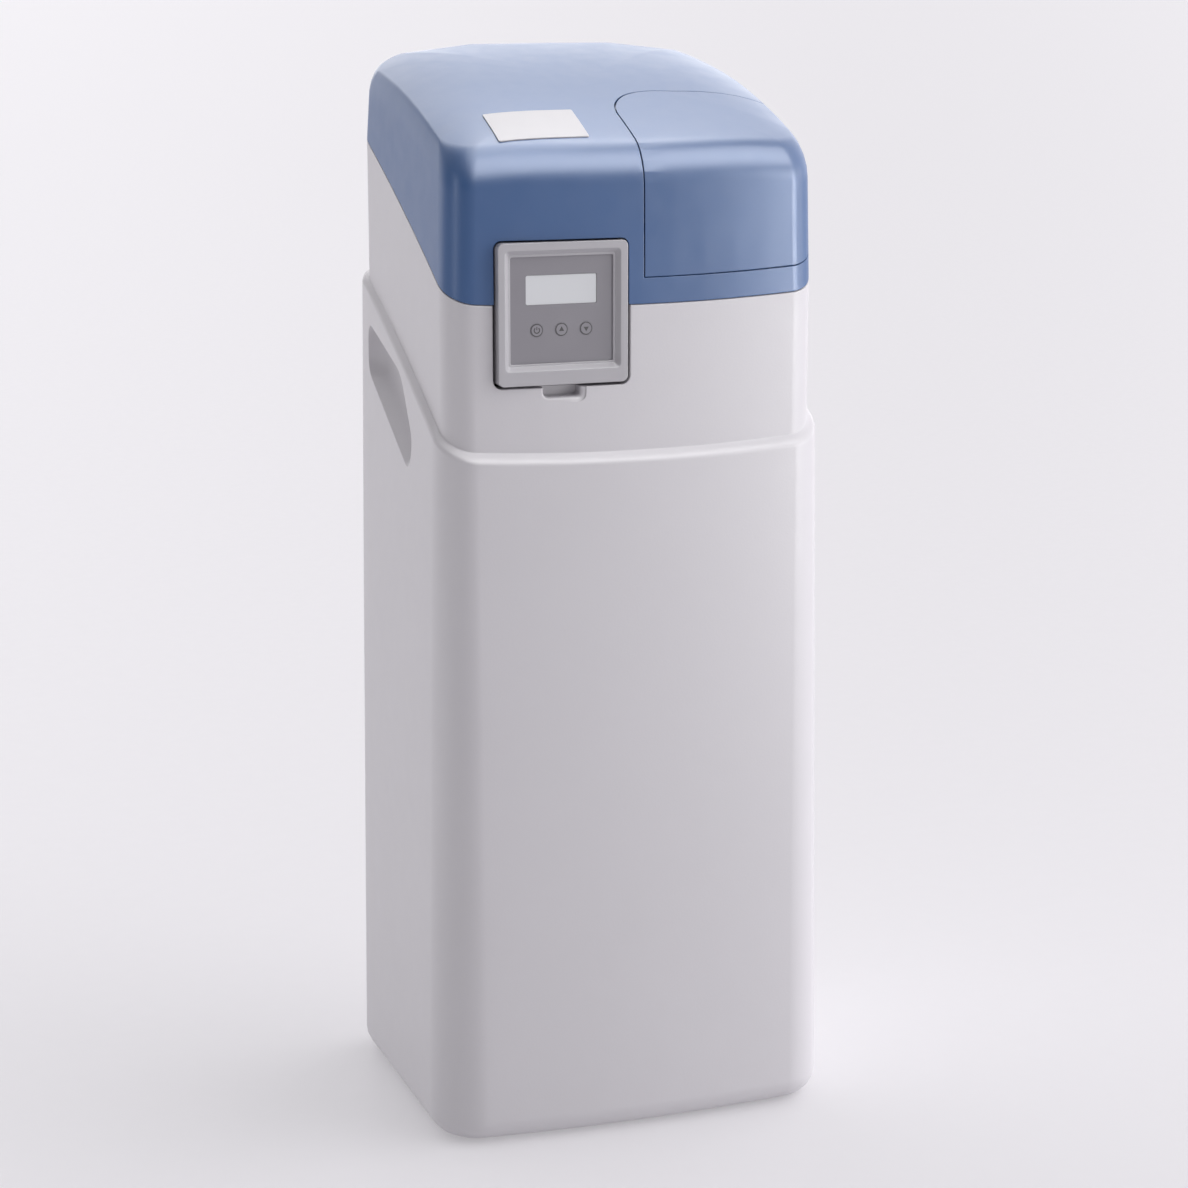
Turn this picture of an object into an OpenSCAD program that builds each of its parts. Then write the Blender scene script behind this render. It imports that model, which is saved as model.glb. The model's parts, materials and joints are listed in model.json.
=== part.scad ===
// Cabinet water softener: a moulded salt cabinet with a lift-off lid, a salt flap and a control head
// that stands on a resin tank inside. Origin on the floor under the middle of the cabinet, +Z up,
// front towards -Y. Millimetres.

/* [Cabinet] */
// Width of the body at the height where its walls cross their stated size
cabinet_w = 310; // [300:1:330]
// Depth of the body at that height, without the bow of the front
cabinet_d = 250; // [244:1:265]
// How far the front bows out at its middle
front_bow = 9.5; // [6:0.1:12]
// Corner radius at the shoulder, seen from above
corner_r = 27.6; // [24:0.2:34]
// Corner radius at the base, seen from above
base_corner_r = 36; // [32:0.5:42]
// Corner radius of the neck, seen from above
neck_r = 21.4; // [18:0.2:25]
// Wall thickness of the cabinet and the lid
wall = 3; // [2.6:0.1:3.4]
// Thickness of the cabinet's floor
floor_t = 4; // [3:0.5:6]
// How far the front and the sides stand out at the base
base_draft = 5.4; // [3:0.1:6]
// Height at which the leaning walls cross their stated size
lean_h = 382; // [340:1:420]
// Radius of the edge round the base
base_r = 20; // [14:0.5:24]
// Height of the shoulder at the front
shoulder_h = 533; // [500:1:560]
// How much the shoulder and the lid's seam climb to the back
line_rise = 120; // [110:1:126]
// How far those two lines arch above straight
line_arch = 5.4; // [3:0.2:8]
// Step in from the stated size to the neck
neck_step = 8.9; // [8:0.1:10]
// Radius of the shoulder's edge
shoulder_r = 4; // [3:0.5:4.5]

/* [Hand grips] */
// Length of a grip along the side
grip_len = 126; // [110:1:134]
// Height of a grip from its tip to its top
grip_h = 101; // [90:1:106]
// Depth of a grip
grip_depth = 20; // [16:1:22]
// How far the middle of a grip lies below the shoulder
grip_drop = 46; // [44:1:54]
// Distance of a grip's middle behind the middle of the cabinet
grip_back = 19; // [14:1:22]

/* [Lid] */
// Height of the neck from the shoulder up to the lid's seam
neck_h = 109.5; // [100:0.5:120]
// Gap along the lid's seam
seam_gap = 1; // [0.6:0.1:1.4]
// Height of the lid above its seam at the middle of the front
lid_h = 109.4; // [104:0.2:116]
// How much the lid's top climbs to the back
lid_rise = 74.9; // [70:0.1:80]
// How far the lid's top falls away at its sides, at the back
lid_crown = 28.6; // [22:0.2:32]
// Share of that fall that is left at the front
crown_share = 0.5; // [0.3:0.05:0.8]
// How far the lid's top bulges between front and back
lid_bulge = 11.8; // [7:0.2:14]
// Width of the rounding along the lid's sides and back
lid_edge_w = 7; // [6:0.5:12]
// Height of that rounding
lid_edge_h = 22.2; // [18:0.2:26]
// Depth of the rounding along the lid's front
lid_edge_front = 18.5; // [15:0.5:24]
// How far the lid's walls lean in
lid_draft = 1.4; // [0.6:0.1:1.8]
// How far the lid's skirt reaches down inside the neck
skirt_h = 10; // [7:0.5:14]
// Thickness of that skirt
skirt_t = 2.2; // [1.8:0.1:2.8]
// Clearance between the skirt and the neck
skirt_gap = 0.6; // [0.4:0.1:1]

/* [Salt flap] */
// Left edge of the flap, from the middle of the cabinet
flap_left = 4; // [0:1:10]
// Back edge of the flap, measured from the front of the cabinet
flap_reach = 98; // [92:1:106]
// Radius of the flap's rear left corner
flap_corner_r = 40; // [30:1:46]
// Height of the flap's lower edge above the lid's seam
flap_up = 20; // [16:1:26]
// Thickness of the flap
flap_t = 3; // [2.6:0.1:3.4]
// Gap round the flap
flap_gap = 1; // [0.9:0.1:1.4]
// Width of the ledge that the flap closes on
ledge_w = 8; // [6:0.5:12]
// Thickness of that ledge
ledge_t = 2.2; // [1.8:0.1:3]
// Distance of the hinge behind the flap's back edge
hinge_back = 40; // [36:1:44]
// Depth of the hinge under the lid at its outer arm
hinge_drop = 12; // [11:0.5:14]
// Diameter of the hinge pins
hinge_pin_d = 4; // [3:0.5:5]
// Thickness of a hinge arm
arm_t = 6; // [5:0.5:8]
// Distance of the inner hinge arm from the flap's left edge
arm_in = 46; // [44:1:52]
// Distance of the outer hinge arm from the lid's right side
arm_out = 30; // [28:1:40]

/* [Badge] */
// Width of the badge plate
badge_w = 69.3; // [60:0.1:74]
// Depth of the badge plate
badge_d = 40.7; // [34:0.1:48]
// Thickness of the badge plate
badge_t = 0.9; // [0.6:0.1:1.4]
// Middle of the badge plate, left of the middle of the cabinet
badge_left = 65.5; // [60:0.5:72]
// Middle of the badge plate, behind the front of the cabinet
badge_reach = 45.5; // [43:0.5:54]

/* [Control head] */
// Middle of the control head, left of the middle of the cabinet
control_left = 60; // [58:1:64]
// Middle of the control head above the shoulder
control_up = 105.5; // [103:0.5:109]
// Width of the bezel
bezel_w = 100; // [98:1:104]
// Height of the bezel
bezel_h = 104.5; // [103:0.5:109]
// Corner radius of the bezel
bezel_r = 4.5; // [4:0.1:6]
// Depth of the bezel's box
bezel_depth = 62; // [60:1:66]
// Wall thickness of the bezel's box
bezel_wall = 2.4; // [2:0.1:2.8]
// How far the bezel stands out of the neck
bezel_proud = 2.5; // [1:0.5:4]
// Gap between the bezel and the cabinet's opening round it
control_gap = 2.4; // [2:0.1:3]
// Gap between the bezel and the lid's notch round it
lid_notch_gap = 1.4; // [1:0.1:2]
// Depth of the returns round that opening
return_d = 20; // [14:1:26]
// Width of the fascia that shows inside the bezel
fascia_w = 79.4; // [78:0.2:84]
// Height of the fascia that shows inside the bezel
fascia_h = 78.4; // [76:0.2:82]
// How far the fascia lies behind the bezel's face
fascia_in = 5; // [4:0.5:6]
// How far the middle of the fascia lies above the middle of the bezel
fascia_up = 2.5; // [1:0.5:4]
// Thickness of the fascia
fascia_t = 2.5; // [2:0.1:3]
// Width of the sloping rim round the fascia
rim_w = 4.9; // [4:0.1:5.4]
// Width of the flat lip inside that rim
lip_w = 1.7; // [1:0.1:2.2]
// Width of the display
display_w = 54.8; // [50:0.2:58]
// Height of the display
display_h = 21.8; // [20:0.2:24]
// Middle of the display above the middle of the fascia
display_up = 14.7; // [13:0.1:16]
// Diameter of a button
button_d = 9.4; // [8:0.2:10]
// Distance between the buttons
button_pitch = 19.1; // [17:0.1:20]
// Middle of the buttons below the middle of the fascia
button_down = 14.7; // [13:0.1:17]
// How far a button stands out of the fascia
button_proud = 0.3; // [0.2:0.05:0.6]
// How far a button can be pressed
button_travel = 0.8; // [0.6:0.1:1]
// Clearance round a button
button_gap = 0.2; // [0.15:0.05:0.3]
// Width of the finger notch under the bezel
notch_w = 36; // [32:1:40]
// Height of the finger notch below the opening
notch_h = 10.8; // [9:0.2:14]
// Depth of the finger notch
notch_d = 12; // [9:0.5:15]
// Width of the rounded rim of the finger notch
notch_flare = 3.8; // [2.5:0.1:4.5]

/* [Valve] */
// How far the valve's axis lies below the middle of the control head
valve_down = 20; // [19:0.5:22]
// Outer diameter of the valve's barrel
barrel_d = 62; // [58:1:64]
// Bore of the valve's barrel
barrel_bore = 42; // [40:0.5:44]
// Diameter of the piston
piston_d = 24; // [22:0.5:25]
// Diameter of the piston's threaded rod
rod_d = 8; // [7:0.5:9]
// Stroke of the piston from service to rinse
piston_stroke = 24; // [20:1:26]
// Running clearance of the piston and the shafts, on the radius
run_gap = 0.05; // [0.03:0.01:0.08]
// Distance between the inlet and the outlet
port_pitch = 52; // [48:1:56]
// Outer diameter of a port
port_d = 34; // [32:0.5:36]
// Bore of a port
port_bore = 22; // [20:0.5:23]
// How far the ports lie below the valve's axis
port_down = 14; // [10:1:18]
// Outer diameter of the pipe thread
thread_d = 26.4; // [24:0.1:28]
// Length of the pipe thread
thread_len = 18; // [14:1:22]
// How far the pipe threads stand out behind the cabinet
thread_out = 30; // [26:1:36]

/* [Drive] */
// Tooth module of the gears
gear_module = 0.8; // [0.75:0.05:0.85]
// Teeth of the drive gear
drive_teeth = 60; // [54:1:60]
// Teeth of both pinions
pinion_teeth = 16; // [15:1:17]
// Teeth of the reduction wheel
wheel_teeth = 44; // [40:1:46]
// Free play between meshing teeth
gear_play = 0.25; // [0.15:0.05:0.35]
// Thickness of the drive gear
gear_t = 6; // [5:0.5:7]
// Diameter of the motor
motor_d = 28; // [24:1:29]
// Length of the motor
motor_len = 32; // [26:1:38]

/* [Resin tank] */
// Diameter of the resin tank
tank_d = 152; // [140:1:158]
// Wall thickness of the resin tank
tank_wall = 4; // [3:0.5:5]
// Diameter of the tank's threaded neck
tank_neck_d = 64; // [60:1:66]
// Height of that neck above the tank's dome
tank_neck_h = 22; // [18:1:26]
// How far the tank's axis lies behind the middle of the cabinet
tank_back = 10; // [6:1:16]
// Outer diameter of the riser tube
riser_d = 26.7; // [24:0.1:28]
// Height of the resin bed inside the tank
resin_h = 300; // [240:5:340]

/* [Brine side] */
// Outer diameter of the brine well
well_d = 90; // [80:1:94]
// Wall thickness of the brine well
well_wall = 2.5; // [2:0.1:3]
// Height of the brine well
well_h = 520; // [480:5:530]
// Gap between the brine well and the rounded edge of the floor
well_gap = 1; // [0.5:0.5:5]
// Height of the salt platform above the floor
platform_h = 50; // [44:1:60]
// Thickness of the salt platform
platform_t = 4; // [3:0.5:5]
// Diameter of the float
float_d = 50; // [44:1:56]
// Height of the float
float_h = 45; // [38:1:50]
// Diameter of the pick-up tube inside the brine well
pickup_d = 12; // [10:0.5:13]
// Diameter of the brine line
line_d = 9.5; // [8:0.5:10]
// Height of the overflow above the floor
overflow_h = 485; // [480:5:500]
// Outer diameter of the hose barbs
barb_d = 13; // [12:0.5:14]

/* [Hidden] */
$fn = 48;

// Colours as the object shows them
shell_grey = [0.80, 0.80, 0.79];
lid_blue = [0.36, 0.47, 0.63];
bezel_grey = [0.66, 0.66, 0.66];
fascia_grey = [0.52, 0.52, 0.53];
pale_grey = [0.82, 0.83, 0.84];
valve_black = [0.12, 0.12, 0.13];
gear_white = [0.90, 0.89, 0.85];
tank_blue = [0.30, 0.42, 0.55];
board_green = [0.10, 0.36, 0.20];
display_pale = [0.80, 0.82, 0.80];
seal_black = [0.25, 0.25, 0.27];
piston_cream = [0.86, 0.84, 0.78];
strainer_grey = [0.30, 0.32, 0.34];
resin_amber = [0.62, 0.42, 0.20];
line_white = [0.88, 0.88, 0.86];
steel = [0.70, 0.71, 0.73];

// Clearances that pieces share
fit = 0.15;
touch_gap = 0.4;
rest_gap = 0.05;
bite = 1;

// Steps along the outline of the cabinet: corners, front, sides and back
corner_n = 9;
front_n = 10;
side_n = 6;
back_n = 4;

// Main places worked out from the sizes above
seam_h = shoulder_h + neck_h;
front_edge = -cabinet_d / 2;
control_x = -control_left;
control_z = shoulder_h + control_up;
flap_back = front_edge + flap_reach;

// The outline of the cabinet seen from above, set in from the shoulder's outline
function between(p, q, n) = [for (i = [1 : n - 1]) p + (q - p) * i / n];
function turn(c, r, start) = [for (i = [0 : corner_n]) let (a = start + 90 * i / corner_n)
    c + r * [cos(a), sin(a)]];
function box_ring(w, f, b, r, fronts, sides, backs) = concat(
    between([-w + r, f], [w - r, f], fronts), turn([w - r, f + r], r, 270),
    between([w, f + r], [w, b - r], sides), turn([w - r, b - r], r, 0),
    between([w - r, b], [-w + r, b], backs), turn([-w + r, b - r], r, 90),
    between([-w, b - r], [-w, f + r], sides), turn([-w + r, f + r], r, 180));
function bowed(p, half_w) = let (front_share = max(0, -2 * p.y / cabinet_d))
    [p.x, p.y - front_bow * front_share * (1 - pow(p.x / half_w, 2))];
function plan_ring(side_in, front_in, back_in, r) =
    let (w = cabinet_w / 2 - side_in, f = front_edge + front_in, b = cabinet_d / 2 - back_in)
    [for (p = box_ring(w, f, b, r, front_n, side_n, back_n)) bowed(p, w)];
function wall_ring(inset, r) = plan_ring(inset, inset, inset, r);

// The front and the sides lean in with height, and the corners get tighter; the back is upright
function lean(z) = base_draft * (z - lean_h) / (lean_h - base_r);
function body_r(z) = base_corner_r
    + (corner_r - base_corner_r) * min(1, (z - base_r) / (shoulder_h - base_r));
function leaning_ring(z, inset, r) = plan_ring(lean(z) + inset, lean(z) + inset, inset, r);

// The front wall's place at x, for a wall set in by inset
function front_y(x, inset) = front_edge + inset
    - front_bow * (1 - 2 * inset / cabinet_d) * (1 - pow(x / (cabinet_w / 2 - inset), 2));

// The shoulder and the seam climb to the back in a slight arch
function climb(y) = let (t = (y - front_edge) / cabinet_d) line_rise * t + 4 * line_arch * t * (1 - t);
function at_height(ring, z) = [for (p = ring) [p.x, p.y, z]];
function along_shoulder(ring, up) = [for (p = ring) [p.x, p.y, shoulder_h + up + climb(p.y)]];
shoulder_line = wall_ring(0, corner_r);
function shoulder_ring(inset, up) = [for (k = [0 : len(shoulder_line) - 1])
    let (z = shoulder_h + climb(shoulder_line[k].y), p = leaning_ring(z, inset, corner_r - inset / 2)[k])
    [p.x, p.y, shoulder_h + up + climb(p.y)]];
function along_seam(ring, up) = [for (p = ring) [p.x, p.y, seam_h + up + climb(p.y)]];

// The lid's top: it climbs to the back, bulges and falls away at its sides
crown_power = 4.6;
edge_growth = 0.27;
function lid_z(x, y) = let (v = 2 * y / cabinet_d, u = abs(2 * x / cabinet_w), back = (v + 1) / 2)
    seam_h + lid_h + lid_bulge * (1 - v * v) + lid_rise * back
    - lid_crown * (crown_share + (1 - crown_share) * back) * pow(u, crown_power);
edge_turns = [0, 20, 40, 60, 75, 90];
inner_turns = [90, 60, 30, 0];
top_shares = [0.92, 0.84, 0.74, 0.6, 0.35];
function lid_inset(depth, edge, a) = neck_step + lid_draft + depth + (edge - depth) * (1 - cos(a));
function lid_outline(depth, a) = let (i = lid_inset(depth, lid_edge_w, a))
    plan_ring(i, lid_inset(depth, lid_edge_front, a), i,
        neck_r - depth + (i - neck_step - depth) * edge_growth);
function lid_ring(depth, a) = [for (p = lid_outline(depth, a))
    [p.x, p.y, lid_z(p.x, p.y) - depth - (lid_edge_h - depth) * (1 - sin(a))]];
function lid_top_ring(depth, share) = [for (p = share * lid_outline(depth, 90))
    [p.x, p.y, lid_z(p.x, p.y) - depth]];
function lid_tip(depth) = [0, 0, lid_z(0, 0) - depth];

// A closed skin over a stack of rings, with a point at each end
module skin(tip_a, rings, tip_b) {
    n = len(rings[0]);
    m = len(rings);
    points = concat([tip_a], [for (ring = rings) each ring], [tip_b]);
    last = len(points) - 1;
    faces = concat(
        [for (i = [0 : n - 1]) [0, 1 + i, 1 + (i + 1) % n]],
        [for (j = [0 : m - 2], i = [0 : n - 1])
            let (a = 1 + j * n + i, d = 1 + j * n + (i + 1) % n)
            each [[a, a + n, d + n], [a, d + n, d]]],
        [for (i = [0 : n - 1]) [1 + (m - 1) * n + i, last, 1 + (m - 1) * n + (i + 1) % n]]);
    polyhedron(points, faces);
}

// A shape drawn in X and Z that reaches back from the plane y
module facing(y, depth) {
    translate([0, y + depth, 0])
        rotate([90, 0, 0])
            linear_extrude(depth)
                children();
}

// A shape drawn in Y and Z that reaches from x towards +X
module sideways(x, width) {
    translate([x, 0, 0])
        rotate([90, 0, 90])
            linear_extrude(width)
                children();
}

module rounded(w, h, r) {
    square([w - 2 * r, h], center = true);
    square([w, h - 2 * r], center = true);
    for (x = [-1, 1], y = [-1, 1])
        translate([x * (w / 2 - r), y * (h / 2 - r)])
            circle(r);
}

// Rods along the three axes, from a start point
module rod_x(at, d, len) translate(at) rotate([0, 90, 0]) cylinder(d = d, h = len);
module rod_y(at, d, len) translate(at) rotate([-90, 0, 0]) cylinder(d = d, h = len);
module rod_z(at, d, len) translate(at) cylinder(d = d, h = len);

// All that lies higher than the seam in the front half, from a set height over it
far = cabinet_w + cabinet_d;
above_all = seam_h + 2 * (lid_h + lid_rise);
seam_steps = 12;
seam_from = front_edge - 2 * front_bow;
seam_to = flap_back + 2 * front_bow;

module above_seam(up) {
    sideways(-far / 2, far)
        polygon(concat(
            [for (i = [0 : seam_steps]) let (y = seam_from + (seam_to - seam_from) * i / seam_steps)
                [y, seam_h + up + climb(y)]],
            [[seam_to, above_all], [seam_from, above_all]]));
}

// Cabinet

// The control opening: the bezel and the gap round it, wider in the cabinet than in the lid
opening_w = bezel_w + 2 * control_gap;
opening_r = bezel_r + control_gap;
opening_low = control_z - bezel_h / 2 - control_gap;
lid_opening_w = bezel_w + 2 * lid_notch_gap;
lid_opening_r = bezel_r + lid_notch_gap;
opening_high = control_z + bezel_h / 2 + lid_notch_gap;
return_t = 2.4;
neck_face = front_y(control_x, neck_step);
return_back = neck_face + return_d;

// A frame round the control opening, whose front follows the bowed wall
module opening_return(w, low, high, r, inset) {
    reach = w / 2 + return_t;
    steps = 12;
    xs = [for (i = [0 : steps]) control_x + reach * (2 * i / steps - 1)];
    intersection() {
        translate([0, 0, low - return_t])
            linear_extrude(high - low + 2 * return_t)
                polygon(concat([for (x = xs) [x, front_y(x, inset)]],
                    [[control_x + reach, return_back], [control_x - reach, return_back]]));
        facing(neck_face - front_bow, return_d + 2 * front_bow)
            translate([control_x, (low + high) / 2])
                difference() {
                    rounded(w + 2 * return_t, high - low + 2 * return_t, r + return_t);
                    rounded(w, high - low, r);
                }
    }
}

// Hand grip: a hollow in the side wall with a steep upper side, five corners as shares of its size
grip_shape = [[0.5, 0.5], [-0.246, 0.213], [-0.5, -0.262], [-0.42, -0.5], [0.5, 0.114]];
grip_deep = [0.15, 0.2];
grip_bend = 12;
grip_n = 5;
grip_steps = [[-0.25, 1.02], [0, 1], [0.12, 0.975], [0.35, 0.92],
    [0.6, 0.83], [0.8, 0.7], [0.93, 0.52], [1, 0.28]];
grip_z = shoulder_h + climb(grip_back) - grip_drop;
function bent(a, v, b) =
    let (p = v + grip_bend * (a - v) / norm(a - v), q = v + grip_bend * (b - v) / norm(b - v))
    [for (i = [0 : grip_n]) let (t = i / grip_n) (1 - t) * (1 - t) * p + 2 * t * (1 - t) * v + t * t * q];
function grip_outline(grow) = let (n = len(grip_shape))
    let (size = [grip_len + 2 * grow, grip_h + 2 * grow])
    let (c = [for (s = grip_shape) [s.x * size.x, s.y * size.y]])
    [for (k = [0 : n - 1]) each bent(c[(k + n - 1) % n], c[k], c[(k + 1) % n])];

module grip_form(grow) {
    deep = [grip_deep.x * grip_len, grip_deep.y * grip_h];
    outline = grip_outline(grow);
    depth = grip_depth + grow;
    translate([-cabinet_w / 2 + lean(grip_z), grip_back, grip_z])
        skin([grip_steps[0][0] * depth, deep.x, deep.y],
            [for (s = grip_steps) [for (p = outline)
                let (q = deep + s[1] * (p - deep)) [s[0] * depth, q.x, q.y]]],
            [depth, deep.x, deep.y]);
}

module both_sides() {
    children();
    mirror([1, 0, 0])
        children();
}

module grip_wall() {
    intersection() {
        grip_form(wall);
        translate([-cabinet_w / 2 + lean(grip_z) + wall / 2, front_edge, 0])
            cube([2 * grip_depth, cabinet_d, seam_h]);
    }
}

module cabinet_shell() {
    base_turns = [0, 18, 36, 54, 72, 90];
    shoulder_turns = [0, 30, 60, 90];
    outer = concat(
        [for (a = base_turns) let (i = base_r * (1 - sin(a)))
            at_height(leaning_ring(base_r, i, base_corner_r - i), base_r * (1 - cos(a)))],
        [at_height(leaning_ring(lean_h, 0, body_r(lean_h)), lean_h)],
        [for (a = shoulder_turns) shoulder_ring(shoulder_r * (1 - cos(a)), shoulder_r * (sin(a) - 1))],
        [along_shoulder(wall_ring(neck_step, neck_r), bite),
            along_seam(wall_ring(neck_step, neck_r), -seam_gap / 2)]);
    inner_base = base_r - floor_t;
    inner = concat(
        [along_seam(wall_ring(neck_step + wall, neck_r - wall), -seam_gap / 2),
            along_shoulder(wall_ring(neck_step + wall, neck_r - wall), -wall),
            shoulder_ring(wall, -wall - shoulder_r),
            at_height(leaning_ring(lean_h, wall, body_r(lean_h) - wall), lean_h)],
        [for (a = [90, 45, 0]) let (i = inner_base * (1 - sin(a)) + wall)
            at_height(leaning_ring(base_r, i, base_corner_r - i), floor_t + inner_base * (1 - cos(a)))]);
    skin([0, 0, 0], concat(outer, inner), [0, 0, floor_t]);
}

// Back openings: one for the pipes and the drain hose, one for the overflow and one for the lead
port_z = control_z - valve_down - port_down;
pipe_room = 13;
hose_room = 10;
pipe_hole_w = port_pitch + port_d + 2 * pipe_room + hose_room;
pipe_hole_h = port_d + 2 * pipe_room;
pipe_hole_x = control_x + hose_room;
pipe_hole_r = 7;
back_y = cabinet_d / 2;
overflow_tail_d = 16;
lead_hole_d = 12;
lead_room = 24;
lead_x = pipe_hole_x + pipe_hole_w / 2 + lead_room;
lead_z = port_z;

// Finger notch: a pocket below the opening with a flared rim
notch_in = notch_w / 2 - notch_flare;
notch_low = notch_h - notch_flare;
notch_r = 3.5;
notch_top = 2 * notch_r;
function notch_ring(grow, depth) = at_height(box_ring(notch_in + grow, -notch_low - grow,
    notch_top, notch_r + grow / 2, 2, 2, 2), -depth);

module finger_notch() {
    turns = [0, 22.5, 45, 67.5, 90];
    front = front_bow / 2;
    translate([control_x, neck_face, opening_low])
        rotate([90, 0, 0])
            skin([0, 0, -notch_d], concat([notch_ring(0, notch_d)],
                [for (i = [len(turns) - 1 : -1 : 0]) let (a = turns[i])
                    notch_ring(notch_flare * (1 - sin(a)), notch_flare * (1 - cos(a)))],
                [notch_ring(notch_flare, -front)]), [0, 0, front]);
}

module notch_wall() {
    w = 2 * (notch_in + wall);
    h = notch_low + wall;
    facing(neck_face + wall / 2, notch_d + wall / 2)
        translate([control_x, opening_low - h / 2])
            rounded(w, h, notch_r);
}

module cabinet() {
    opening_top = 2 * seam_h - opening_low;
    color(shell_grey)
        difference() {
            union() {
                cabinet_shell();
                both_sides()
                    grip_wall();
                difference() {
                    opening_return(opening_w, opening_low, opening_top, opening_r, neck_step + wall / 2);
                    above_seam(-seam_gap / 2);
                }
                notch_wall();
            }
            both_sides()
                grip_form(0);
            facing(neck_face - front_bow, return_d + front_bow + bite)
                translate([control_x, seam_h])
                    rounded(opening_w, opening_top - opening_low, opening_r);
            finger_notch();
            facing(back_y - 4 * wall, 8 * wall)
                translate([pipe_hole_x, port_z])
                    rounded(pipe_hole_w, pipe_hole_h, pipe_hole_r);
            rod_y([well_x, back_y - 4 * wall, overflow_h], overflow_tail_d + 2 * fit, 8 * wall);
            rod_y([lead_x, back_y - 4 * wall, lead_z], lead_hole_d, 8 * wall);
        }
}

// Lid

skirt_out = neck_step + wall + skirt_gap;
skirt_in = skirt_out + skirt_t;
lid_rest = rest_gap - seam_gap / 2;

module lid_skin(thick, foot) {
    rise = [for (a = edge_turns) lid_ring(0, a)];
    fall = [for (a = inner_turns) lid_ring(thick, a)];
    skin(lid_tip(thick),
        concat([for (i = [len(top_shares) - 1 : -1 : 0]) lid_top_ring(thick, top_shares[i])],
            fall, foot, rise, [for (share = top_shares) lid_top_ring(0, share)]),
        lid_tip(0));
}

function lid_foot() = [
    along_seam(wall_ring(neck_step + wall, neck_r - wall), skirt_h),
    along_seam(wall_ring(skirt_in, neck_r - skirt_in + neck_step), skirt_h / 2),
    along_seam(wall_ring(skirt_in, neck_r - skirt_in + neck_step), -skirt_h),
    along_seam(wall_ring(skirt_out, neck_r - skirt_out + neck_step), -skirt_h),
    along_seam(wall_ring(skirt_out, neck_r - skirt_out + neck_step), lid_rest),
    along_seam(wall_ring(neck_step + wall / 2, neck_r - wall / 2), lid_rest),
    along_seam(wall_ring(neck_step + wall / 2, neck_r - wall / 2), seam_gap / 2),
    along_seam(wall_ring(neck_step, neck_r), seam_gap / 2),
];

function flap_foot() = [
    along_seam(wall_ring(neck_step + flap_t, neck_r - flap_t), seam_gap / 2),
    along_seam(wall_ring(neck_step, neck_r), seam_gap / 2),
];

// The space of the flap, grown by the gap round it
module flap_plan(grow) {
    left = flap_left - grow;
    back = flap_back + grow;
    translate([left, -far])
        square([far, far + back - flap_corner_r]);
    translate([left + flap_corner_r, -far])
        square([far, far + back]);
    translate([left + flap_corner_r, back - flap_corner_r])
        circle(flap_corner_r);
}

function flap_edge_z(y) = seam_h + flap_up + climb(y);

module flap_space(grow) {
    intersection() {
        linear_extrude(above_all)
            flap_plan(grow);
        above_seam(flap_up - grow);
    }
}

// Under the lid's skin at x, down to the depth of a rib
module under_lid(x, top_depth, y_from, y_to, low) {
    steps = 8;
    polygon(concat(
        [for (i = [0 : steps]) let (y = y_from + (y_to - y_from) * i / steps) [y, lid_z(x, y) - top_depth]],
        [[y_to, low], [y_from, low]]));
}

// A rib that follows the lid's top at x
module lid_rib(x, width, top_depth, low_depth, y_from, y_to) {
    steps = 8;
    ys = [for (i = [0 : steps]) y_from + (y_to - y_from) * i / steps];
    sideways(x, width)
        polygon(concat([for (y = ys) [y, lid_z(x, y) - top_depth]],
            [for (i = [steps : -1 : 0]) [ys[i], lid_z(x, ys[i]) - low_depth]]));
}

// Ledges that the flap closes on: a rib at its left, a strip behind its front and one at its right
seat_depth = flap_t + touch_gap;
ledge_root = 6;
ledge_low = seat_depth + ledge_t;
ledge_front = front_y(flap_left, neck_step + lid_draft + lid_edge_front) + flap_gap;

module flap_ledges() {
    rib_x = flap_left - ledge_root;
    rib_end = flap_back - ledge_w;
    lid_rib(rib_x, ledge_root - flap_gap, wall / 2, ledge_low, ledge_front, rib_end);
    lid_rib(rib_x, ledge_root + ledge_w, seat_depth, ledge_low, ledge_front, rib_end);
    front_inset = neck_step + lid_draft + seat_depth;
    x_end = cabinet_w / 2 - neck_step - corner_r;
    ledge_z = seam_h + flap_up - ledge_root;
    steps = 8;
    xs = [for (i = [0 : steps]) flap_left + (x_end - flap_left) * i / steps];
    translate([0, 0, ledge_z])
        linear_extrude(ledge_root + ledge_w)
            polygon(concat([for (x = xs) [x, front_y(x, front_inset)]],
                [for (i = [steps : -1 : 0]) [xs[i], front_y(xs[i], front_inset + ledge_t)]]));
    translate([0, 0, ledge_z])
        linear_extrude(ledge_root - flap_gap)
            polygon(concat([for (x = xs) [x, front_y(x, neck_step + wall / 2)]],
                [for (i = [steps : -1 : 0]) [xs[i], front_y(xs[i], front_inset + ledge_t)]]));
    side_x = cabinet_w / 2 - front_inset - ledge_t;
    side_from = front_edge + neck_step + corner_r;
    ys = [for (i = [0 : steps]) side_from + (rib_end - side_from) * i / steps];
    sideways(side_x, ledge_t)
        polygon(concat([for (y = ys) [y, flap_edge_z(y) - ledge_root]],
            [for (i = [steps : -1 : 0]) [ys[i], flap_edge_z(ys[i]) + ledge_w]]));
    sideways(side_x, front_inset + ledge_t - neck_step - wall / 2)
        polygon(concat([for (y = ys) [y, flap_edge_z(y) - ledge_root]],
            [for (i = [steps : -1 : 0]) [ys[i], flap_edge_z(ys[i]) - flap_gap]]));
}

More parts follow.
